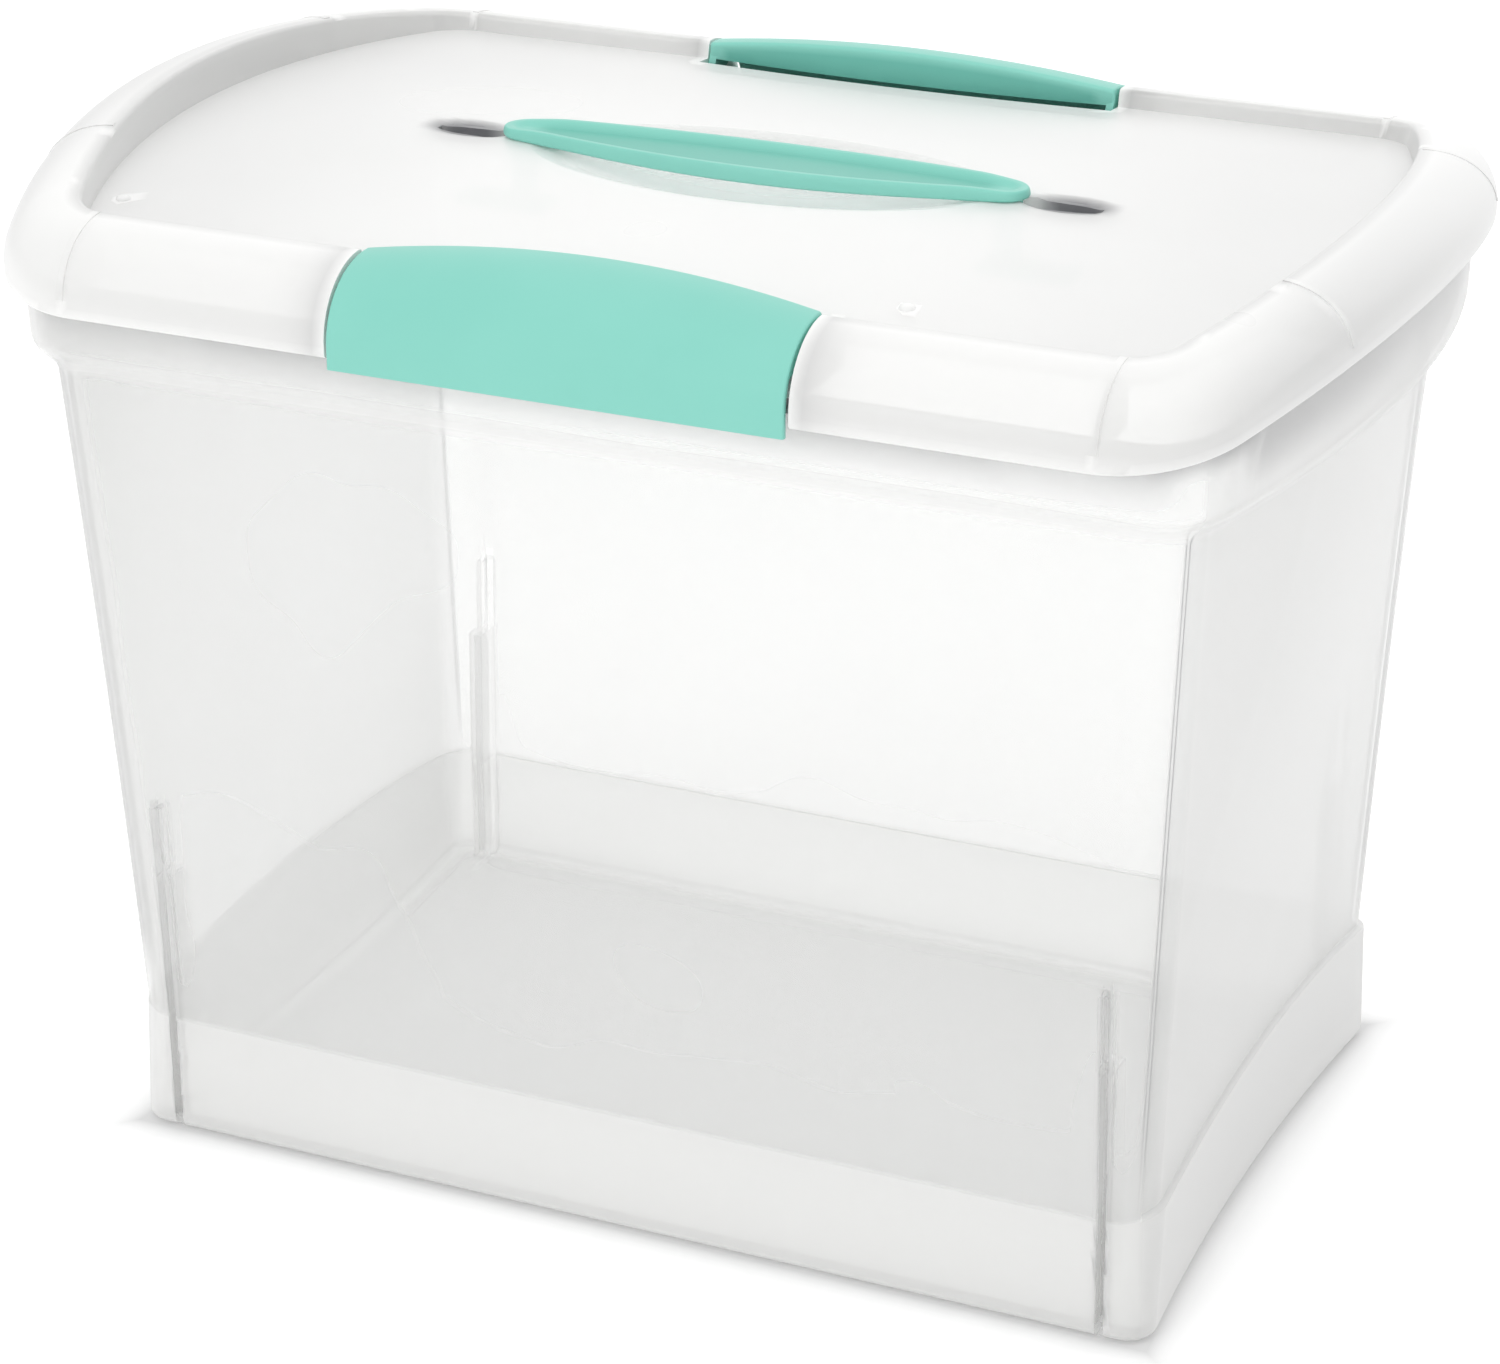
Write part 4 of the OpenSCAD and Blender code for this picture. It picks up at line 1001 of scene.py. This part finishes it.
class Finish:
    # a material or world under construction

    def __init__(self, owner):
        owner.use_nodes = True
        self.owner, self.tree = owner, owner.node_tree
        self.tree.nodes.clear()

    def node(self, kind, settings=None, inputs=None):
        # any node: its settings first, then the values or links of its sockets
        node = self.tree.nodes.new(kind)
        for k, v in (settings or {}).items():
            setattr(node, k, v)
        for k, v in (inputs or {}).items():
            if isinstance(v, Val):
                self.tree.links.new(v.socket, node.inputs[k])
            else:
                node.inputs[k].default_value = v
        return node

    def get(self, kind, out=0, settings=None, inputs=None):
        return Val(self.tree, self.node(kind, settings, inputs).outputs[out])

    def place(self):
        # object coordinates as a vector and as x, y and z
        vector = self.get("ShaderNodeTexCoord", "Object")
        axes = self.node("ShaderNodeSeparateXYZ", None, {0: vector})
        return [vector] + [Val(self.tree, o) for o in axes.outputs]

    def noise(self, vector, scale, detail=2.0, rough=0.5, stretch=None):
        if stretch is not None:
            vector = self.get("ShaderNodeMapping", 0, None, {"Vector": vector, "Scale": stretch})
        return self.get("ShaderNodeTexNoise", 0, None, {
            "Vector": vector, "Scale": scale, "Detail": detail, "Roughness": rough})

    def painted(self, name):
        # what paint() left at the points under this name
        return self.get("ShaderNodeAttribute", "Fac", {"attribute_name": name})

    def mix(self, factor, a, b):
        # colour a where the factor is 0, b where it is 1
        return self.get("ShaderNodeMix", 2, {"data_type": "RGBA"}, {0: factor, 6: a, 7: b})

    def bump(self, height, distance):
        # relief of a height in metres times the distance
        return self.get("ShaderNodeBump", 0, None, {"Height": height, "Distance": distance, "Strength": 1.0})

    def output(self, shader, kind="ShaderNodeOutputMaterial"):
        self.node(kind, None, {"Surface": shader})
        return self.owner


def rgba(text):
    # linear colour from an sRGB hex triple
    c = [int(text[i:i + 2], 16) / 255 for i in (0, 2, 4)]
    return tuple(v / 12.92 if v <= 0.04045 else ((v + 0.055) / 1.055) ** 2.4 for v in c) + (1.0,)


bodyLook = {
    "white": "fdfdfc", "grey": "fbfbfa", "shadow": "9c9c9e", "haze": 0.20, "bandHaze": 0.40, "rough": 0.32,
    "bandRough": 0.5, "mouth": 0.45, "bar": 0.22, "groove": 0.9,
}
lidLook = {"white": "fcfcfb", "grey": "f3f3f2", "shadow": "6c6c70", "haze": 0.42, "rough": 0.30}
# strengths that both clear looks share
clearLook = {"cloudHaze": 0.06, "cloudRough": 0.16, "shadeHaze": 0.45, "slant": 0.33, "relief": 0.0005, "ior": 1.49}
# places of the band and the grooves in metres, for the shader
bandPlace = {
    "endX": (0.1545, 0.1575), "halfY": 0.1059, "rise": 0.010, "top": (0.0378, 0.0392), "finX": 0.150,
    "mouthZ": 0.1083, "mouthRadius": 0.0016, "mouthLine": (0.0002, 0.0008), "wallY": (0.1025, 0.1030),
    "step": (0.0855, 0.0865), "barX": (0.0020, 0.0030), "barZ": (-0.02, 0.03), "grooveX": (0.0011, 0.0015),
    "grooveY": (0.088, 0.090), "grooveTop": (0.112, 0.113),
}


def clearPlastic(name, look, band=False):
    # Milky plastic: a face covers 1 - (1 - haze)^(1 / cosine) of what is behind it, as haze in a wall does
    # when it is looked through at a slant; the painted shade adds to the haze and darkens the colour.
    f = Finish(bpy.data.materials.new(name))
    c, b = clearLook, bandPlace
    p, x, y, z = f.place()
    cloud = f.noise(p, 9.0)
    shade, milk = f.painted("shade"), f.painted("milk")
    haze = look["haze"] + (cloud - 0.5) * c["cloudHaze"]
    rough = look["rough"] + (cloud - 0.5) * c["cloudRough"]
    if band:
        # the frosted band follows the rise of the ends
        rise = abs(x).ramp(*b["endX"]) * (1 - (y / b["halfY"]) ** 2) * b["rise"]
        inBand = 1 - (z - rise).ramp(*b["top"])
        haze = haze + inBand * (look["bandHaze"] - look["haze"])
        rough = rough + inBand * (look["bandRough"] - look["rough"])
        # painted shade: a grey line round the mouth of each groove, over the fin's step, and a soft grey bar under the
        # step
        across = abs(abs(x) - b["finX"])
        reach = (across ** 2 + (z - b["mouthZ"]).most(0) ** 2) ** 0.5
        overStep = z.ramp(*b["step"])
        mouth = (1 - abs(reach - b["mouthRadius"]).ramp(*b["mouthLine"])) * overStep * look["mouth"]
        bar = (1 - across.ramp(*b["barX"])) * (1 - overStep) * z.ramp(*b["barZ"]) * look["bar"]
        shade = shade.most((mouth + bar) * abs(y).ramp(*b["wallY"]))
        # the walls of the grooves let the light through
        inGroove = (1 - across.ramp(*b["grooveX"])) * abs(y).ramp(*b["grooveY"]) * (1 - z.ramp(*b["grooveTop"]))
        haze = haze * (1 - inGroove * look["groove"])
    haze = haze * milk + shade * c["shadeHaze"]
    cosine = (1 - f.get("ShaderNodeLayerWeight", "Facing")).most(c["slant"])
    alpha = 1 - (1 - haze.least(0.95)) ** (1 / cosine)
    # milk over 1 turns the colour towards white: a painted highlight on the lid's rim, skirt edge, beads, cut edges and
    # nubs
    plain = f.mix((cloud - (milk - 1).most(0) * 1.5).most(0), rgba(look["white"]), rgba(look["grey"]))
    colour = f.mix(shade, plain, rgba(look["shadow"]))
    return f.output(f.get("ShaderNodeBsdfPrincipled", 0, None, {
        "Base Color": colour, "Roughness": rough, "Alpha": alpha, "Normal": f.bump(cloud * c["relief"], 1.0),
        "IOR": c["ior"]}))


# sunk is the colour of the painted shade in the hollows of the latches and the handle
tealLook = {
    "main": "89d5c6", "deep": "7fcdbe", "sunk": "6bbfaf", "rough": 0.36, "cloud": 0.35, "cloudRough": 0.12,
    "scuffRough": 0.08, "grain": 0.00003, "relief": 0.0002, "ior": 1.5,
}


def tealPlastic(name, look):
    # satin moulded plastic: a faint cloud of colour, scuffs along x in the roughness, a fine grain; the painted shade
    # darkens it towards the sunk colour
    f = Finish(bpy.data.materials.new(name))
    p = f.get("ShaderNodeTexCoord", "Object")
    cloud = f.noise(p, 22.0, 3.0)
    plain = f.mix(cloud.ramp(0.3, 0.75) * look["cloud"], rgba(look["main"]), rgba(look["deep"]))
    colour = f.mix(f.painted("shade"), plain, rgba(look["sunk"]))
    grain = f.noise(p, 1400.0, 2.0, 0.6)
    scuff = f.noise(p, 60.0, 4.0, 0.6, (0.2, 1, 1)).ramp(0.62, 0.8)
    rough = look["rough"] + (cloud - 0.5) * look["cloudRough"] + scuff * look["scuffRough"]
    normal = f.bump(grain * look["grain"] + cloud * look["relief"], 1.0)
    return f.output(f.get("ShaderNodeBsdfPrincipled", 0, None, {
        "Base Color": colour, "Roughness": rough, "Normal": normal, "IOR": look["ior"]}))


def dress(obj, material):
    obj.data.materials.clear()
    obj.data.materials.append(material)


dress(fileBox, clearPlastic("clearBody", bodyLook, band=True))
dress(lidShell, clearPlastic("clearLid", lidLook))
teal = tealPlastic("tealPlastic", tealLook)
for piece in (latches["frontLatch"], latches["backLatch"], carryHandle):
    dress(piece, teal)
print("materials done")


# angles in degrees, places and the sensor's width in their own units, focal length in pixels of the photo's width
camSpec = {
    "azimuth": 24.402, "elevation": 23.816, "roll": -0.3476, "distance": 1.33788, "target": (-0.004498, 0, 0.13266),
    "focal": 4413.7, "width": 1500, "sensor": 36, "clip": (0.05, 50),
}


def makeCamera():
    # looks at the target from the azimuth and the elevation, turned about its own axis by the roll
    c = camSpec
    az, el, ro = [math.radians(c[k]) for k in ("azimuth", "elevation", "roll")]
    back = Vector((math.sin(az) * math.cos(el), -math.cos(az) * math.cos(el), math.sin(el)))
    right = Vector((math.cos(az), math.sin(az), 0))
    up = back.cross(right)
    r = right * math.cos(ro) + up * math.sin(ro)
    u = up * math.cos(ro) - right * math.sin(ro)
    cam = bpy.data.cameras.new("camera")
    cam.sensor_width = c["sensor"]
    cam.lens = c["focal"] / c["width"] * c["sensor"]
    cam.clip_start, cam.clip_end = c["clip"]
    obj = bpy.data.objects.new("camera", cam)
    place = Vector(c["target"]) + back * c["distance"]
    obj.matrix_world = Matrix([(*row, 0) for row in (r, u, back)] + [(*place, 1)]).transposed()
    bpy.context.scene.collection.objects.link(obj)
    bpy.context.scene.camera = obj


makeCamera()

lightSpec = {
    "top": {"place": (0.25, -0.9, 1.9), "aim": (0, 0, 0.15), "size": (1.1, 0.7), "power": 1.6},
    "front": {"place": (-0.5, -2.2, 0.9), "aim": (0, 0, 0.12), "size": (1.4, 0.8), "power": 1.0},
}
roomLook = {
    "room": 1.27, "sideDrop": 0.8, "floor": "fdfdfd", "floorHalf": 6.0, "floorLow": -0.0005, "floorLift": 0.2,
    "contactShadow": 0.42, "contactReach": 0.006, "footX": 0.1598, "footBend": 0.41, "footY": 0.1057,
}


def makeLights():
    # two soft boxes, each facing its aim
    for name, s in lightSpec.items():
        lamp = bpy.data.lights.new(name, "AREA")
        lamp.shape = "RECTANGLE"
        lamp.size, lamp.size_y = s["size"]
        lamp.energy = s["power"]
        obj = bpy.data.objects.new(name, lamp)
        obj.location = s["place"]
        obj.rotation_euler = (Vector(s["aim"]) - Vector(s["place"])).to_track_quat("-Z", "Y").to_euler()
        bpy.context.scene.collection.objects.link(obj)


def seenRay(f, *kinds):
    # 1 for rays of any of these kinds, 0 for others
    path = f.node("ShaderNodeLightPath")
    rays = [Val(f.tree, path.outputs["Is %s Ray" % kind]) for kind in kinds]
    seen = rays[0]
    for ray in rays[1:]:
        seen = seen.most(ray)
    return seen


def makeRoom():
    # A bright world and a floor. The world counts as 1 where it is seen directly; for light and reflections it
    # is room (1 - sideDrop across^2), darker at the sides than at the front and the back.
    world = bpy.data.worlds.new("studio")
    bpy.context.scene.world = world
    f = Finish(world)
    seen = seenRay(f, "Camera", "Transmission")
    axes = f.node("ShaderNodeSeparateXYZ", None, {0: f.get("ShaderNodeTexCoord", "Generated")})
    across = Val(f.tree, axes.outputs[0])
    room = roomLook["room"] * (1 - across * across * roomLook["sideDrop"])
    strength = room + seen * (1 - room)
    background = f.get("ShaderNodeBackground", 0, None, {"Color": (1, 1, 1, 1), "Strength": strength})
    f.output(background, "ShaderNodeOutputWorld")
    r, low = roomLook["floorHalf"], roomLook["floorLow"]
    square = np.array([(-r, -r, low), (r, -r, low), (r, r, low), (-r, r, low)]) * 1000
    floor = makeMesh("floor", square, [[[0, 1, 2, 3]]], False)
    f = Finish(bpy.data.materials.new("floor"))
    seen = seenRay(f, "Camera", "Glossy", "Transmission")
    lift = f.get("ShaderNodeEmission", 0, None, {"Color": (1, 1, 1, 1), "Strength": seen * roomLook["floorLift"]})
    # painted contact shadow, darker right beside the foot: e^(-away / reach), by the distance from its outline
    x, y = f.place()[1:3]
    away = (abs(x) - roomLook["footX"] - roomLook["footBend"] * y * y).most(abs(y) - roomLook["footY"]).most(0)
    paintedShadow = math.e ** (-1 * away / roomLook["contactReach"]) * roomLook["contactShadow"]
    matt = f.get("ShaderNodeBsdfDiffuse", 0, None, {"Color": f.mix(paintedShadow, rgba(roomLook["floor"]), (0, 0, 0, 1))})
    floor.data.materials.append(f.output(f.get("ShaderNodeAddShader", 0, None, {0: matt, 1: lift})))


makeLights()
makeRoom()
scene = bpy.context.scene
scene.view_settings.view_transform = "Standard"
scene.cycles.transparent_max_bounces = 32
scene.cycles.max_bounces = 12
scene.cycles.diffuse_bounces = 8
scene.cycles.glossy_bounces = 3

bpy.context.view_layer.update()
